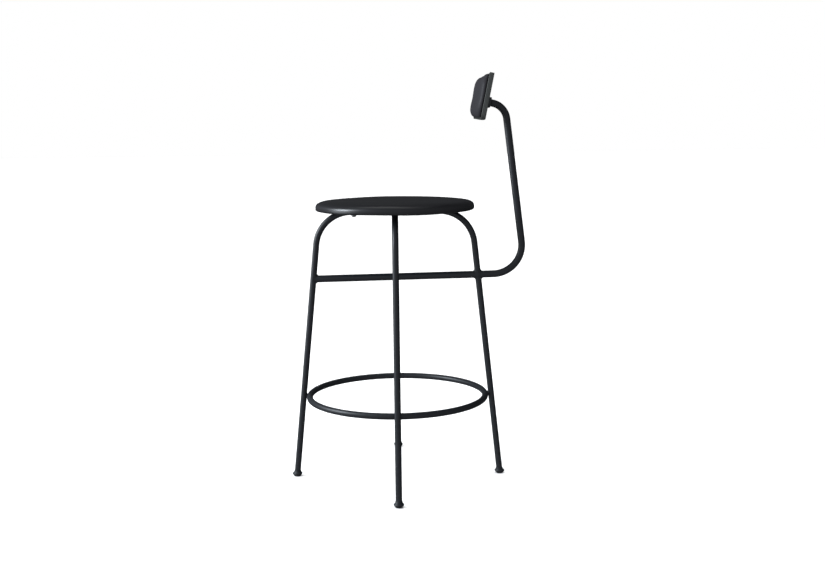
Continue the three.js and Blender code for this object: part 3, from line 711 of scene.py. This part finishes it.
def add_bar_and_stem():
    overrun = BAR_DIRECTION * BAR_OVERRUN
    bar = bent_path(FRONT_JOINT + overrun, [], REAR_JOINT - overrun)
    add_tube("cross_tube", bar, ACROSS, STEM_R, "crossbar")
    corners = [(STEM_LOW_CORNER, STEM_FOOT_BEND_R), (STEM_HIGH_CORNER, STEM_TOP_BEND_R)]
    path = bent_path(REAR_JOINT + overrun, corners, BACK_ORIGIN - BACK_FORWARD * STEM_END_DISTANCE)
    add_tube("stem_tube", path, ACROSS, STEM_R, "back_stem")


# ---- Footrest ring ----

def ring_tube():
    rings = []
    for turn in circle(RING_STEPS):
        outward = polar(1, turn)
        rings.append(round_ring(AXIS + outward * RING_R + UP * RING_Z, outward, UP, TUBE_R))
    return skin(rings, closed=True)


def cut_hole(piece, start, end, radius):
    """Drills a round hole from start to end."""
    along = end - start
    turn = along.to_track_quat("Z", "Y").to_matrix().to_4x4()
    section = [(0, 0), (radius, 0), (radius, along.length), (0, along.length)]
    drill = new_object("drill", new_mesh("drill", *turned(section, 32)))
    drill.data.transform(Matrix.Translation(start) @ turn)
    cutter = piece.modifiers.new("hole", "BOOLEAN")
    cutter.object = drill
    cutter.solver = "EXACT"
    bake_modifiers(piece)
    piece.data.set_sharp_from_angle(angle=math.radians(SHARP_ANGLE))
    bpy.data.objects.remove(drill)


def add_ring():
    def rubbed(v):
        """Shoes polish the top of the ring, most of all in front."""
        on_top = max(0.0, (v.z - RING_Z) / TUBE_R)
        in_front = 0.65 - 0.35 * (v.y - AXIS.y) / RING_R
        return on_top ** 2 * in_front

    piece = add_piece("footrest_ring", ring_tube(), COAT, ["foot_ring"], wear_and_painted_highlight=rubbed)
    vent = AXIS + Vector((1, 1, 0)).normalized() * RING_R + UP * RING_Z
    cut_hole(piece, vent - UP * 0.3 * TUBE_R, vent - UP * 2 * TUBE_R, RING_VENT_R)


# ---- Welds ----

def weld_bead(name, roots, node, leg=WELD_SIZE):
    """A rippled bead. Each root is (point, direction up one piece, direction along the other), in a loop."""
    length = sum((a[0] - b[0]).length for a, b in zip(roots, roots[1:] + roots[:1]))
    ripples = round(length / WELD_PITCH)
    rings = []
    for i, (point, up, along) in enumerate(roots):
        phase = 2 * math.pi * ripples * i / len(roots)
        size = leg * (1 + WELD_RIPPLE * math.cos(phase))
        toe_a = point + up * size
        toe_b = point + along * size
        crest = (toe_a + toe_b) * 0.34 + point * 0.32
        outside = []
        for t in shares(6):
            outside.append(toe_a * (1 - t) ** 2 + crest * 2 * t * (1 - t) + toe_b * t ** 2)
        root = point - (up + along) * WELD_ROOT
        rings.append([*outside, toe_b - up * WELD_TOE, root, toe_a - along * WELD_TOE])
    add_piece(name, skin(rings, closed=True), COAT, [node], sharp=60)


def saddle_roots(joint, out, butt_r, through, through_r, count=192):
    """Where the end of one tube meets the side of another, whose centreline passes through the joint."""
    side = out.cross(through).normalized()
    upright = side.cross(out).normalized()
    tilt = math.asin(through.dot(out))
    square = (out - through * through.dot(out)).normalized()
    least = 0.35 * through_r
    roots = []
    for angle in circle(count):
        across = butt_r * math.cos(angle)
        depth = math.sqrt(max(through_r ** 2 - across ** 2, least ** 2))
        lift = (butt_r * math.sin(angle) * math.sin(tilt) + depth) / math.cos(tilt)
        point = joint + side * across + upright * butt_r * math.sin(angle) + out * lift
        radial = side * math.cos(angle) + upright * math.sin(angle)
        roots.append((point, radial))
    made = []
    for i, (point, radial) in enumerate(roots):
        tangent = (roots[(i + 1) % count][0] - roots[i - 1][0]).normalized()
        from_axis = point - joint
        from_axis = from_axis - through * from_axis.dot(through)
        normal = from_axis.normalized() if from_axis.length > 0 else square
        along = normal.cross(tangent).normalized()
        if along.dot(radial - out) < 0:
            along = -along
        made.append((point, out, along))
    return made


def add_butt_welds():
    joints = [
        ("weld_bar_front", FRONT_JOINT, BAR_DIRECTION, "front", "crossbar_front_weld"),
        ("weld_bar_rear", REAR_JOINT, -BAR_DIRECTION, "rear", "crossbar_rear_weld"),
        ("weld_stem_leg", REAR_JOINT, BAR_DIRECTION, "rear", "stem_leg_weld"),
    ]
    for name, joint, out, side, node in joints:
        weld_bead(name, saddle_roots(joint, out, STEM_R, leg_direction(side), TUBE_R), node)
    run_middle = AXIS + UP * RUN_Z
    for side in ("left", "right"):
        roots = saddle_roots(run_middle, SIDES[side], TUBE_R, BACKWARD, TUBE_R)
        weld_bead(f"weld_run_{side}", roots, f"{side}_run_weld")
    plate = BACK_ORIGIN - BACK_FORWARD * (BRACKET_THICKNESS + GAP)
    lean_up = BACK_FORWARD.cross(ACROSS)
    roots = []
    for angle in circle(144):
        radial = ACROSS * math.cos(angle) + lean_up * math.sin(angle)
        roots.append((plate + radial * STEM_R, -BACK_FORWARD, radial))
    weld_bead("weld_stem_bracket", roots, "stem_bracket_weld", BRACKET_WELD)


def add_ring_welds():
    """Where the ring crosses a leg the tubes touch, and a hollow-sided weld fills the saddle between them."""
    for name, outward in SIDES.items():
        upward = leg_direction(name)
        tangent = outward.cross(UP)
        normal = tangent.cross(upward)
        if normal.dot(outward) < 0:
            normal = -normal
        contact = AXIS + outward * RING_R + UP * RING_Z + normal * (TUBE_R + GAP / 2)
        rings = []
        for t in shares(12):
            ring = []
            for angle in circle(96):
                reach = RING_WELD_R * (1 - RING_WELD_WAIST * math.sin(math.pi * t))
                reach *= 1 + RING_WELD_RIPPLE * math.cos(RING_WELD_RIPPLES * angle)
                along = reach * math.cos(angle)
                up = reach * math.sin(angle)
                to_leg = TUBE_R - math.sqrt(TUBE_R ** 2 - along ** 2) + GAP
                to_ring = TUBE_R - math.sqrt(TUBE_R ** 2 - up ** 2) + GAP
                height = to_leg * (1 - t) - to_ring * t
                ring.append(contact + tangent * along + upward * up + normal * height)
            rings.append(ring)
        add_piece(f"weld_ring_{name}", skin(rings), COAT, [f"ring_weld_{name}"], sharp=60)


# ---- Feet ----

def add_feet():
    rubbed = rub(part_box("right_foot_flange")[0].z, 3 * MM, 0.8)
    for name, outward in SIDES.items():
        place = Matrix.Translation(AXIS + outward * FOOT_RADIUS)
        verts, faces = turned(rounded_profile(FLANGE_SECTION))
        for v in verts:
            v -= outward * max(0.0, v.z - FLANGE_MIDDLE_Z) * math.tan(LEG_SPLAY)
        add_piece(f"foot_flange_{name}", (verts, faces), COAT, [f"{name}_foot_flange"], place, wear_and_painted_highlight=rubbed)
        glide = turned(rounded_profile(GLIDE_SECTION))
        add_piece(f"glide_{name}", glide, NYLON, [f"{name}_glide"], place, wear_and_painted_highlight=rub(0, 3 * MM))


# ---- Screws, washers and staples ----

def hexagon_ring(flat_to_middle, height, count=72):
    ring = []
    for angle in circle(count):
        bend = (angle + math.pi / 6) % (math.pi / 3) - math.pi / 6
        ring.append(polar(flat_to_middle / math.cos(bend), angle, height))
    return ring


def button_screw(shank_r, head_r, shank_length):
    """A button-head screw with a hexagon socket: the head hangs below z = 0, the shank runs up."""
    socket = SCREW_SOCKET_SHARE * head_r
    floor_z = SCREW_SOCKET_DEPTH - SCREW_HEAD_HEIGHT
    rings = [
        hexagon_ring(0.05 * socket, floor_z + 0.3 * MM),
        hexagon_ring(0.98 * socket, floor_z),
        hexagon_ring(socket, 0.15 * MM - SCREW_HEAD_HEIGHT),
        hexagon_ring(1.08 * socket, -SCREW_HEAD_HEIGHT),
    ]
    for t in shares(8):
        angle = SCREW_DOME_START + (SCREW_DOME_END - SCREW_DOME_START) * t
        dome_r = head_r * (0.52 + 0.48 * math.sin(angle) ** 1.4)
        dome_z = -SCREW_HEAD_HEIGHT * (0.16 + 0.84 * math.cos(angle) ** 0.9)
        rings.append(level_ring(dome_r, dome_z, 72))
    below = [
        (head_r, -0.35 * MM),
        (head_r - 0.15 * MM, 0),
        (shank_r, 0),
        (shank_r, shank_length - SCREW_TIP),
        (shank_r - SCREW_TIP, shank_length),
    ]
    rings += [level_ring(radius, height, 72) for radius, height in below]
    return skin(rings)


def socket_wear(v):
    return float(v.z < SCREW_WORN_Z)


def add_seat_screws():
    washer_r = span("seat_washer_front").x / 2
    ease = WASHER_EASE
    for side in ("front", "left", "right"):
        low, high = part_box(f"seat_washer_{side}")
        place = Matrix.Translation(((low.x + high.x) / 2, (low.y + high.y) / 2, 0))
        section = [
            (WASHER_BORE_R, low.z + ease),
            (WASHER_BORE_R + ease, low.z),
            (washer_r - ease, low.z),
            (washer_r, low.z + ease),
            (washer_r, high.z - ease),
            (washer_r - ease, high.z),
            (WASHER_BORE_R + ease, high.z),
            (WASHER_BORE_R, high.z - ease),
        ]
        rings = [level_ring(radius, height) for radius, height in section]
        add_piece(f"washer_{side}", skin(rings, closed=True), ZINC, [f"seat_washer_{side}"], place)
        head_z = low.z - GAP
        screw = button_screw(SEAT_SCREW_R, SEAT_SCREW_HEAD_R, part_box(f"seat_screw_{side}")[1].z - head_z)
        add_piece(f"screw_seat_{side}", screw, OXIDE, [f"seat_screw_{side}"],
                  place @ Matrix.Translation(UP * head_z), wear_and_painted_highlight=socket_wear)


def add_back_screws():
    shank = STEM_END_DISTANCE + SHELL_THICKNESS + BACK_SCREW_PAST_SHELL
    screw = button_screw(BACK_SCREW_R, BACK_SCREW_HEAD_R, shank)
    for side in ("left", "right"):
        x = middle(f"back_screw_{side}").x
        place = BACK @ Matrix.Translation((x, STEM_END_DISTANCE, 0)) @ Matrix.Rotation(math.pi / 2, 4, "X")
        add_piece(f"screw_back_{side}", screw, OXIDE, [f"back_screw_{side}"], place, wear_and_painted_highlight=socket_wear)


def staple(centre, along):
    """One wire staple. Its legs point up, and its flattened wire runs along the cloth."""
    across = along.cross(UP)
    last = len(STAPLE_LINE) - 1
    points = [centre + (along * reach + UP * rise) * MM for reach, rise in STAPLE_LINE]
    rings = []
    for k, point in enumerate(points):
        tangent = (points[min(k + 1, last)] - points[max(k - 1, 0)]).normalized()
        rings.append(round_ring(point, across * STAPLE_FLATTENED, across.cross(tangent), STAPLE_WIRE_R, 10))
    return skin(rings)


def add_staples():
    """Wire staples that hold the dust cover to the board."""
    seed = random.Random(11)
    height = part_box("seat_dust_cover")[0].z - STAPLE_DROP
    radius = span("seat_dust_cover").x / 2 - STAPLE_MARGIN
    verts, faces = [], []
    for i in range(STAPLE_COUNT):
        turn = 2 * math.pi * (i + 0.25 * seed.uniform(-1, 1)) / STAPLE_COUNT
        skew = turn + math.pi / 2 + seed.uniform(-0.2, 0.2)
        staple_verts, staple_faces = staple(AXIS + polar(radius, turn, height), polar(1, skew))
        base = len(verts)
        verts += staple_verts
        faces += [tuple(base + index for index in face) for face in staple_faces]
    add_piece("seat_staples", (verts, faces), ZINC)


# ---- Soft pieces ----

def cloth_offsets(verts, faces, pinned, voxel, cap):
    """How far each point moves when the closed form is blown up as cloth, by at most cap."""
    blown = new_object("blown", new_mesh("blown", verts, faces))
    remesh = blown.modifiers.new("remesh", "REMESH")
    remesh.mode = "VOXEL"
    remesh.voxel_size = voxel
    bake_modifiers(blown)
    start = points_of(blown.data)
    held = [i for i, point in enumerate(start) if pinned(point)]
    blown.vertex_groups.new(name=CLOTH["vertex_group_mass"]).add(held, 1.0, "REPLACE")
    cloth = blown.modifiers.new("cloth", "CLOTH")
    for setting, value in CLOTH.items():
        setattr(cloth.settings, setting, value)
    cloth.settings.effector_weights.gravity = 0
    cloth.collision_settings.use_collision = False
    for number in range(1, CLOTH_FRAMES + 1):
        bpy.context.scene.frame_set(number)
    shape = blown.evaluated_get(bpy.context.evaluated_depsgraph_get())
    moved = points_of(shape.data) - start
    bpy.data.objects.remove(blown)
    bpy.context.scene.frame_set(1)
    length = np.linalg.norm(moved, axis=1)
    moved *= (cap * np.tanh(length / cap) / np.maximum(length, 1e-9))[:, None]
    tree = tree_of(start)
    offsets = np.zeros((len(verts), 3))
    reach = 1.5 * voxel
    for i, v in enumerate(verts):
        near = tree.find_n(Vector(v), 16)
        weights = bell(np.array([distance for _, _, distance in near]), reach) + 1e-12
        offsets[i] = (moved[[index for _, index, _ in near]] * weights[:, None]).sum(0) / weights.sum()
    return offsets


def tree_of(points):
    tree = KDTree(len(points))
    for i, point in enumerate(points):
        tree.insert(point, i)
    tree.balance()
    return tree


def points_of(mesh):
    points = np.empty(len(mesh.vertices) * 3)
    mesh.vertices.foreach_get("co", points)
    return points.reshape(-1, 3)


# ---- Seat ----

def seat_crown(angle):
    """The crowned top and rounded rim: angle 0 is the middle of the top, a quarter turn the widest line."""
    radius = SEAT_R * math.sin(angle) ** (2 / CROWN_RADIAL_POWER)
    height = SEAT_WIDEST_DROP * math.cos(angle) ** (2 / CROWN_HEIGHT_POWER)
    return Vector((radius, WIDEST_Z + height))


def seat_profile():
    """The closed half section of foam and leather: over the top, round the rim, and back under the board."""
    board_low, board_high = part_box("seat_board")
    board_r = (board_high.x - board_low.x) / 2
    steps = 26
    line = [Vector((0.05 * MM, SEAT_TOP_Z))]
    for share in shares(steps)[1:-1]:
        line.append(seat_crown(math.asin((SEAT_RIM_SHARE * share) ** (CROWN_RADIAL_POWER / 2))))
    first = math.asin(SEAT_RIM_SHARE ** (CROWN_RADIAL_POWER / 2))
    for share in shares(steps):
        line.append(seat_crown(first + (math.pi / 2 - first) * share ** 0.8))
    hem_z = board_low.z - GAP
    under = [Vector((SEAT_R - inset * MM, WIDEST_Z - drop * MM)) for inset, drop in SEAT_TURN_UNDER]
    under.append(Vector((SEAT_R - SEAT_HEM_INSET, hem_z - SEAT_HEM_DROP)))
    under += [Vector((HEM_INNER_R + outset * MM, hem_z - drop * MM)) for outset, drop in SEAT_HEM_END]
    inside_z = board_high.z + 2 * MM
    hidden = [
        Vector((board_r + GAP, hem_z)),
        Vector((board_r + GAP, inside_z)),
        Vector((0.05 * MM, inside_z)),
    ]
    return line + smooth_line(under, 5)[1:], hidden


def pleats(angles, seed, count):
    """Irregular gathers round the hem, as a height from 0 to 1 for each angle."""
    heights = np.zeros(len(angles))
    for i in range(count):
        centre = 2 * math.pi * (i + seed.uniform(-0.3, 0.3)) / count
        width = math.radians(seed.uniform(0.7, 1.5))
        gap = (angles - centre + math.pi) % (2 * math.pi) - math.pi
        heights += seed.uniform(0.4, 1.0) * bell(gap, width)
    return heights


def seat_rings(line, normal, push):
    """The half section swung round the seat, with its visible points pushed out along their normals."""
    angles = np.array(circle(SEAT_SEGMENTS))
    rings = []
    for i, (radius, height) in enumerate(line):
        r, z = np.full(SEAT_SEGMENTS, radius), np.full(SEAT_SEGMENTS, height)
        if i < len(push):
            r = r + normal[i][0] * push[i]
            z = z + normal[i][1] * push[i]
        rings.append(np.stack([r * np.cos(angles), AXIS.y + r * np.sin(angles), z], axis=1))
    return rings


def add_seat():
    """Foam under one piece of leather, folded under the board in small gathers."""
    visible, hidden = seat_profile()
    count = len(visible)
    line = np.array([tuple(p) for p in visible + hidden])
    radii, heights = line[:count].T
    tangent = np.gradient(line[:count], axis=0)
    normal = np.stack([-tangent[:, 1], tangent[:, 0]], axis=1)
    normal /= np.linalg.norm(normal, axis=1)[:, None]
    angles = np.array(circle(SEAT_SEGMENTS))
    gathers = pleats(angles, random.Random(5), SEAT_GATHERS)
    under_share = np.clip((SEAT_R - 2 * MM - radii) / (20 * MM), 0, 1) * (heights < WIDEST_Z - 1 * MM)
    uneven = np.sin(3 * angles + 0.7) + 0.6 * np.sin(5 * angles + 2.1)
    rim_share = bell(radii - SEAT_R, 9 * MM)
    push = np.outer(under_share, gathers) * SEAT_GATHER_HEIGHT + np.outer(rim_share, uneven) * SEAT_UNEVEN
    start = seat_rings(line, normal, np.full((count, SEAT_SEGMENTS), -SEAT_CLOTH_INSET))
    coarse = [ring[::SEAT_COARSENED] for ring in [*start[::2], start[-1]]]
    verts, faces = skin([[Vector(p) for p in ring] for ring in coarse])

    def below_rim(p):
        return p[2] < WIDEST_Z - 2 * MM

    moved = cloth_offsets(verts, faces, below_rim, SEAT_CLOTH_VOXEL, SEAT_CLOTH_CAP)
    push = push + seat_deviation(moved, len(coarse), radii, normal)
    verts, faces = skin([[Vector(p) for p in ring] for ring in seat_rings(line, normal, push)])

    # On the seat this is wear: a burnished band round the upper rim.
    def burnish_and_painted_highlight(v):
        near_edge = math.hypot(v.x, v.y - AXIS.y) > 0.9 * SEAT_R
        return near_edge * bell(v.z - WIDEST_Z - 7 * MM, 5 * MM)

    piece = add_piece("seat_cushion", (verts, faces), SEAT_LEATHER, ["seat_cover", "seat_foam"],
                      wear_and_painted_highlight=burnish_and_painted_highlight, sharp=70)


def seat_deviation(moved, rows, radii, normal):
    """How the swell differs round the seat: long waves only, fading to none at the middle of the top."""
    turns = np.array(circle(SEAT_SEGMENTS // SEAT_COARSENED))
    flat = moved.reshape(rows, len(turns), 3)
    swell = np.zeros((rows, SEAT_SEGMENTS))
    for row in range(rows):
        out, up = normal[min(2 * row, len(radii) - 1)]
        outward = np.stack([out * np.cos(turns), out * np.sin(turns), np.full(len(turns), up)], axis=1)
        waves = np.fft.rfft((flat[row] * outward).sum(1))
        waves[0] = 0
        waves[SEAT_SWELL_WAVES:] = 0
        swell[row] = np.fft.irfft(waves, SEAT_SEGMENTS) * SEAT_COARSENED
    fine = np.zeros((len(radii), SEAT_SEGMENTS))
    for i, radius in enumerate(radii):
        between = swell[i // 2] if i % 2 == 0 else (swell[i // 2] + swell[i // 2 + 1]) / 2
        fine[i] = between * min(radius / SEAT_R, 1) ** 4
    return fine


def add_dust_cover():
    """Thin cloth across the board, sagging a little between the tubes that press it."""
    low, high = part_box("seat_dust_cover")
    radius = (high.x - low.x) / 2
    seed = random.Random(3)
    puckers = [seed.uniform(0.5, 1.0) for _ in range(STAPLE_COUNT)]

    def cloth_ring(share, face_z):
        ring = []
        for a in circle(144):
            pucker = puckers[int(a / (2 * math.pi) * STAPLE_COUNT)] * math.cos(STAPLE_COUNT * a)
            sag = DUST_COVER_SAG * math.sin(2 * a) ** 2 * math.sin(math.pi * share) ** 2
            drop = sag + DUST_COVER_PUCKER * pucker * share ** 6
            ring.append(AXIS + polar(max(radius * share, 0.05 * MM), a, face_z - drop))
        return ring

    rings = [cloth_ring(share, low.z) for share in shares(24)]
    rings += [cloth_ring(share, high.z) for share in shares(24)[::-1]]
    add_piece("dust_cover", skin(rings), FELT, ["seat_dust_cover"], sharp=50)


# ---- Backrest ----

def slab(half_width, half_height, corner_r, loops, columns=56, rows=16, arc=8):
    """A rounded rectangle in front view. `loops` are (inset, depth) from the front's flat to the back's.

    Gives the points as (x, depth, z, inset) and the faces.
    """
    core_x, core_z = half_width - corner_r, half_height - corner_r
    xs = np.linspace(-core_x, core_x, columns + 1)
    zs = np.linspace(-core_z, core_z, rows + 1)
    outline = [(x, -core_z, 0, -1) for x in xs[:-1]]
    outline += corner_fan(core_x, -core_z, -math.pi / 2, arc)
    outline += [(core_x, z, 1, 0) for z in zs[1:-1]]
    outline += corner_fan(core_x, core_z, 0, arc)
    outline += [(x, core_z, 0, 1) for x in xs[-2:0:-1]]
    outline += corner_fan(-core_x, core_z, math.pi / 2, arc)
    outline += [(-core_x, z, -1, 0) for z in zs[-2:0:-1]]
    outline += corner_fan(-core_x, -core_z, math.pi, arc)[:-1]
    points = []
    for inset, depth in loops:
        reach = corner_r - inset
        points += [(x + nx * reach, depth, z + nz * reach, inset) for x, z, nx, nz in outline]
    faces = band(len(loops), len(outline))
    for depth in (loops[0][1], loops[-1][1]):
        base = len(points)
        points += [(x, depth, z, corner_r) for z in zs for x in xs]
        for r in range(rows):
            for c in range(columns):
                a = base + r * (columns + 1) + c
                faces.append((a, a + 1, a + columns + 2, a + columns + 1))
    return np.array(points), faces


def corner_fan(x, z, start, arc):
    turns = [start + math.pi / 2 * share for share in shares(arc)]
    return [(x, z, math.cos(a), math.sin(a)) for a in turns]


def bent_back(points):
    """Slab points with their top and bottom edges arched, on the backrest's curve, still upright."""
    x, depth, z = points[:, 0], points[:, 1], points[:, 2]
    along = (x / SHELL_HALF_WIDTH) ** 2
    upper = np.clip((z / SHELL_HALF_HEIGHT + 1) / 2, 0, 1)
    arched = z + along * (SHELL_BOTTOM_ARCH * (1 - upper) - SHELL_TOP_ARCH * upper)
    y = -BACK_CURVE_R + np.sqrt((BACK_CURVE_R - depth) ** 2 - x ** 2)
    return np.stack([x, y, arched + SHELL_RISE], axis=1)


def quarter(inset_size, depth_size, steps):
    """(inset, depth) steps round a quarter ellipse, from the face, past the rounded edge, to the side."""
    turns = [math.pi / 2 * share for share in shares(steps)]
    return [(inset_size * (1 - math.sin(a)), depth_size * (1 - math.cos(a))) for a in turns]


def add_shell():
    """Bent plywood. Its attributes tell the material where the plies show."""
    edge = quarter(SHELL_EASE, SHELL_EASE, 4)
    front = [(inset, SHELL_THICKNESS - depth) for inset, depth in edge]
    loops = [(SHELL_CORNER_R, SHELL_THICKNESS), *front, *edge[::-1], (SHELL_CORNER_R, 0)]
    points, faces = slab(SHELL_HALF_WIDTH, SHELL_HALF_HEIGHT, SHELL_CORNER_R, loops)
    bent = bent_back(points)
    piece = add_piece("shell", (bent, faces), SHELL, ["back_shell"])
    tree = tree_of(bent)
    source = points[[tree.find(v.co)[1] for v in piece.data.vertices]]
    edge_share = np.clip(1 - source[:, 3] / SHELL_EASE, 0, 1)
    set_attribute(piece.data, "depth", source[:, 1] / SHELL_THICKNESS)
    set_attribute(piece.data, "edge", edge_share)
    set_attribute(piece.data, "wear_and_painted_highlight", edge_share * (1 - edge_share) * 4)
    piece.data.transform(BACK)


def pad_loops(back, front):
    """(inset, depth) from the middle of the pad's front, over its soft edge, to the tuck at the shell."""
    loops = [(PAD_CORNER_R, front)]
    loops += [(inset, front - depth) for inset, depth in quarter(PAD_EASE_WIDTH, PAD_EASE_DEPTH, 14)]
    for share in shares(6)[1:]:
        angle = math.pi / 2 * share
        depth = back + (front - PAD_EASE_DEPTH - back) * (1 - math.sin(angle))
        loops.append((PAD_TUCK * (1 - math.cos(angle)), depth))
    return [*loops, (PAD_CORNER_R, back)]


def gather_corners(points, half_width, half_height, share):
    """Small folds round the pad's corners, which grow towards the shell."""
    beyond_x = np.maximum(np.abs(points[:, 0]) - (half_width - PAD_CORNER_R), 0)
    beyond_z = np.maximum(np.abs(points[:, 2]) - (half_height - PAD_CORNER_R), 0)
    angle = np.arctan2(beyond_z, beyond_x)
    at_corner = (beyond_x > 0) * (beyond_z > 0) * (points[:, 3] < PAD_GATHER_BAND)
    gather = at_corner * (1 - share) * np.cos(angle * 36) * PAD_GATHER_HEIGHT
    points[:, 0] += gather * np.sign(points[:, 0]) * np.cos(angle)
    points[:, 2] += gather * np.sign(points[:, 2]) * np.sin(angle)


def add_back_cushion():
    """Foam under one piece of leather, gathered at the corners and pulled tight to the shell."""
    half_width = SHELL_HALF_WIDTH - PAD_INSET
    half_height = SHELL_HALF_HEIGHT - PAD_INSET
    back = SHELL_THICKNESS + GAP
    loops = pad_loops(back, back + PAD_THICKNESS)
    points, faces = slab(half_width, half_height, PAD_CORNER_R, loops, columns=72, rows=20, arc=16)
    share = np.clip((points[:, 1] - back) / PAD_THICKNESS, 0, 1)
    x, z = points[:, 0] / half_width, points[:, 2] / half_height
    points[:, 1] += share * (1 - x ** 2) * (1 - z ** 2) * PAD_CROWN
    gather_corners(points, half_width, half_height, share)
    shaped = bent_back(points)
    limit = -back - 1.5 * MM

    def at_shell(p):
        return math.hypot(p[0], p[1] + BACK_CURVE_R) - BACK_CURVE_R > limit

    moved = cloth_offsets(shaped, faces, at_shell, PAD_CLOTH_VOXEL, PAD_CLOTH_CAP)
    shaped = shaped + moved * PAD_CLOTH_SHARE

    # On the back cushion this lightens a band at each end where the soft edge starts: a painted highlight
    # along the rounded ridge.
    def burnish_and_painted_highlight(v):
        return bell(abs(v.x) - half_width + PAD_EASE_WIDTH, 6 * MM)

    piece = add_piece("back_cushion", (shaped, faces), BACK_LEATHER, ["back_pad_cover", "back_pad_foam"],
                      BACK, wear_and_painted_highlight=burnish_and_painted_highlight, sharp=75)


def add_bracket():
    """A round-ended plate across the end of the stem, with eased edges."""
    end_r = BRACKET_HEIGHT / 2
    straight = span("back_bracket").x / 2 - end_r
    outline = []
    for centre, start in ((straight, -math.pi / 2), (-straight, math.pi / 2)):
        for share in shares(32):
            a = start + math.pi * share
            outline.append((centre, math.cos(a), math.sin(a)))
    edge = quarter(BRACKET_EASE, BRACKET_EASE, 5)
    sides = [(inset, GAP + depth) for inset, depth in edge]
    sides += [(inset, GAP + BRACKET_THICKNESS - depth) for inset, depth in edge[::-1]]
    loops = []
    for inset, y in sides:
        reach = end_r - inset
        loops.append([Vector((centre + nx * reach, y, nz * reach)) for centre, nx, nz in outline])

    def rim(v):
        to_edge = end_r - math.hypot(max(abs(v.x) - straight, 0), v.z)
        return 0.6 * (to_edge < BRACKET_EASE)

    add_piece("bracket_plate", skin(loops), COAT, ["back_bracket"], BACK, wear_and_painted_highlight=rim)


# ---- Studio ----

def pale_floor():
    made = Recipe("pale_floor", Specular_IOR_Level=0.1)
    tone = made.mixed(made.noise(2, detail=2), (0.90, 0.90, 0.90), (0.94, 0.94, 0.94))
    rough = made.ranged(made.noise(3), 0, 1, 0.85, 0.95)
    return made.finish(tone, rough, made.bump(made.noise(60), 0.02, 0.2 * MM))


def add_floor():
    """A pale floor, lit evenly by a lamp of its own, that throws no light back on the stool."""
    half = FLOOR_HALF
    verts = [(-half, -half, 0), (half, -half, 0), (half, half, 0), (-half, half, 0)]
    floor = new_object("floor", new_mesh("floor", verts, [(0, 1, 2, 3)]))
    floor.data.materials.append(pale_floor())
    floor.visible_diffuse = False
    floor.visible_glossy = False
    data = bpy.data.lights.new("floor_lamp", "SUN")
    data.energy = FLOOR_LAMP
    data.angle = FLOOR_LAMP_SPREAD
    lit = bpy.data.collections.new("lit_by_floor_lamp")
    lit.objects.link(floor)
    new_object("floor_lamp", data).light_linking.receiver_collection = lit


def add_world():
    """A white backdrop. What it lends the stool is dimmer, and falls off away from GLOW_FROM."""
    world = bpy.data.worlds.new("studio")
    bpy.context.scene.world = world
    world.use_nodes = True
    tree = world.node_tree
    tree.nodes.clear()
    direction = add_node(tree, "TexCoord", {}, "Generated")
    facing = add_node(tree, "VectorMath", {0: direction, 1: GLOW_FROM}, "Value", operation="DOT_PRODUCT")
    strength = add_node(tree, "MapRange", {"Value": facing, **GLOW_RANGE})
    glow = add_node(tree, "Background", {"Color": GLOW_COLOUR, "Strength": strength})
    seen = add_node(tree, "Background", {"Color": WHITE})
    by_camera = add_node(tree, "LightPath", {}, "Is Camera Ray")
    mix = add_node(tree, "MixShader", {0: by_camera, 1: glow, 2: seen})
    out = tree.nodes.new("ShaderNodeOutputWorld")
    tree.links.new(mix, out.inputs["Surface"])


def add_panels():
    """Soft panels aimed at the middle of the stool."""
    for name, (place, size, power, colour) in PANELS.items():
        data = bpy.data.lights.new(name, "AREA")
        data.shape = "RECTANGLE"
        data.size, data.size_y = size
        data.energy = power
        data.color = colour
        light = new_object(name, data)
        light.location = place
        light.rotation_mode = "QUATERNION"
        light.rotation_quaternion = (AXIS + UP * PANELS_AIM_Z - Vector(place)).to_track_quat("-Z", "Y")


def add_camera():
    data = bpy.data.cameras.new("camera")
    data.sensor_width = CAMERA_SENSOR
    data.lens = CAMERA_LENS
    camera = new_object("camera", data)
    turn = Matrix.Rotation(CAMERA_HEADING, 4, "Z")
    turn = turn @ Matrix.Rotation(CAMERA_PITCH, 4, "X")
    turn = turn @ Matrix.Rotation(CAMERA_ROLL, 4, "Z")
    camera.matrix_world = Matrix.Translation(CAMERA_PLACE) @ turn
    bpy.context.scene.camera = camera


# ---- Assembly ----

def dress_hidden_nodes():
    """The board and tee nuts stay as the frame draws them."""
    zinc, _ = ZINC
    spots = ("seat_tee_nut_front", "seat_tee_nut_left", "seat_tee_nut_right",
             "back_tee_nut_left", "back_tee_nut_right")
    for node, material in {"seat_board": plywood(), **dict.fromkeys(spots, zinc)}.items():
        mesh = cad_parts[node].data
        mesh.materials.clear()
        mesh.materials.append(material)


add_camera()
add_world()
add_panels()
add_floor()
dress_hidden_nodes()
add_legs()
add_bar_and_stem()
add_ring()
add_butt_welds()
add_ring_welds()
add_feet()
add_seat_screws()
add_back_screws()
add_staples()
add_seat()
add_dust_cover()
add_shell()
add_back_cushion()
add_bracket()
bpy.context.scene.view_settings.view_transform = "Standard"
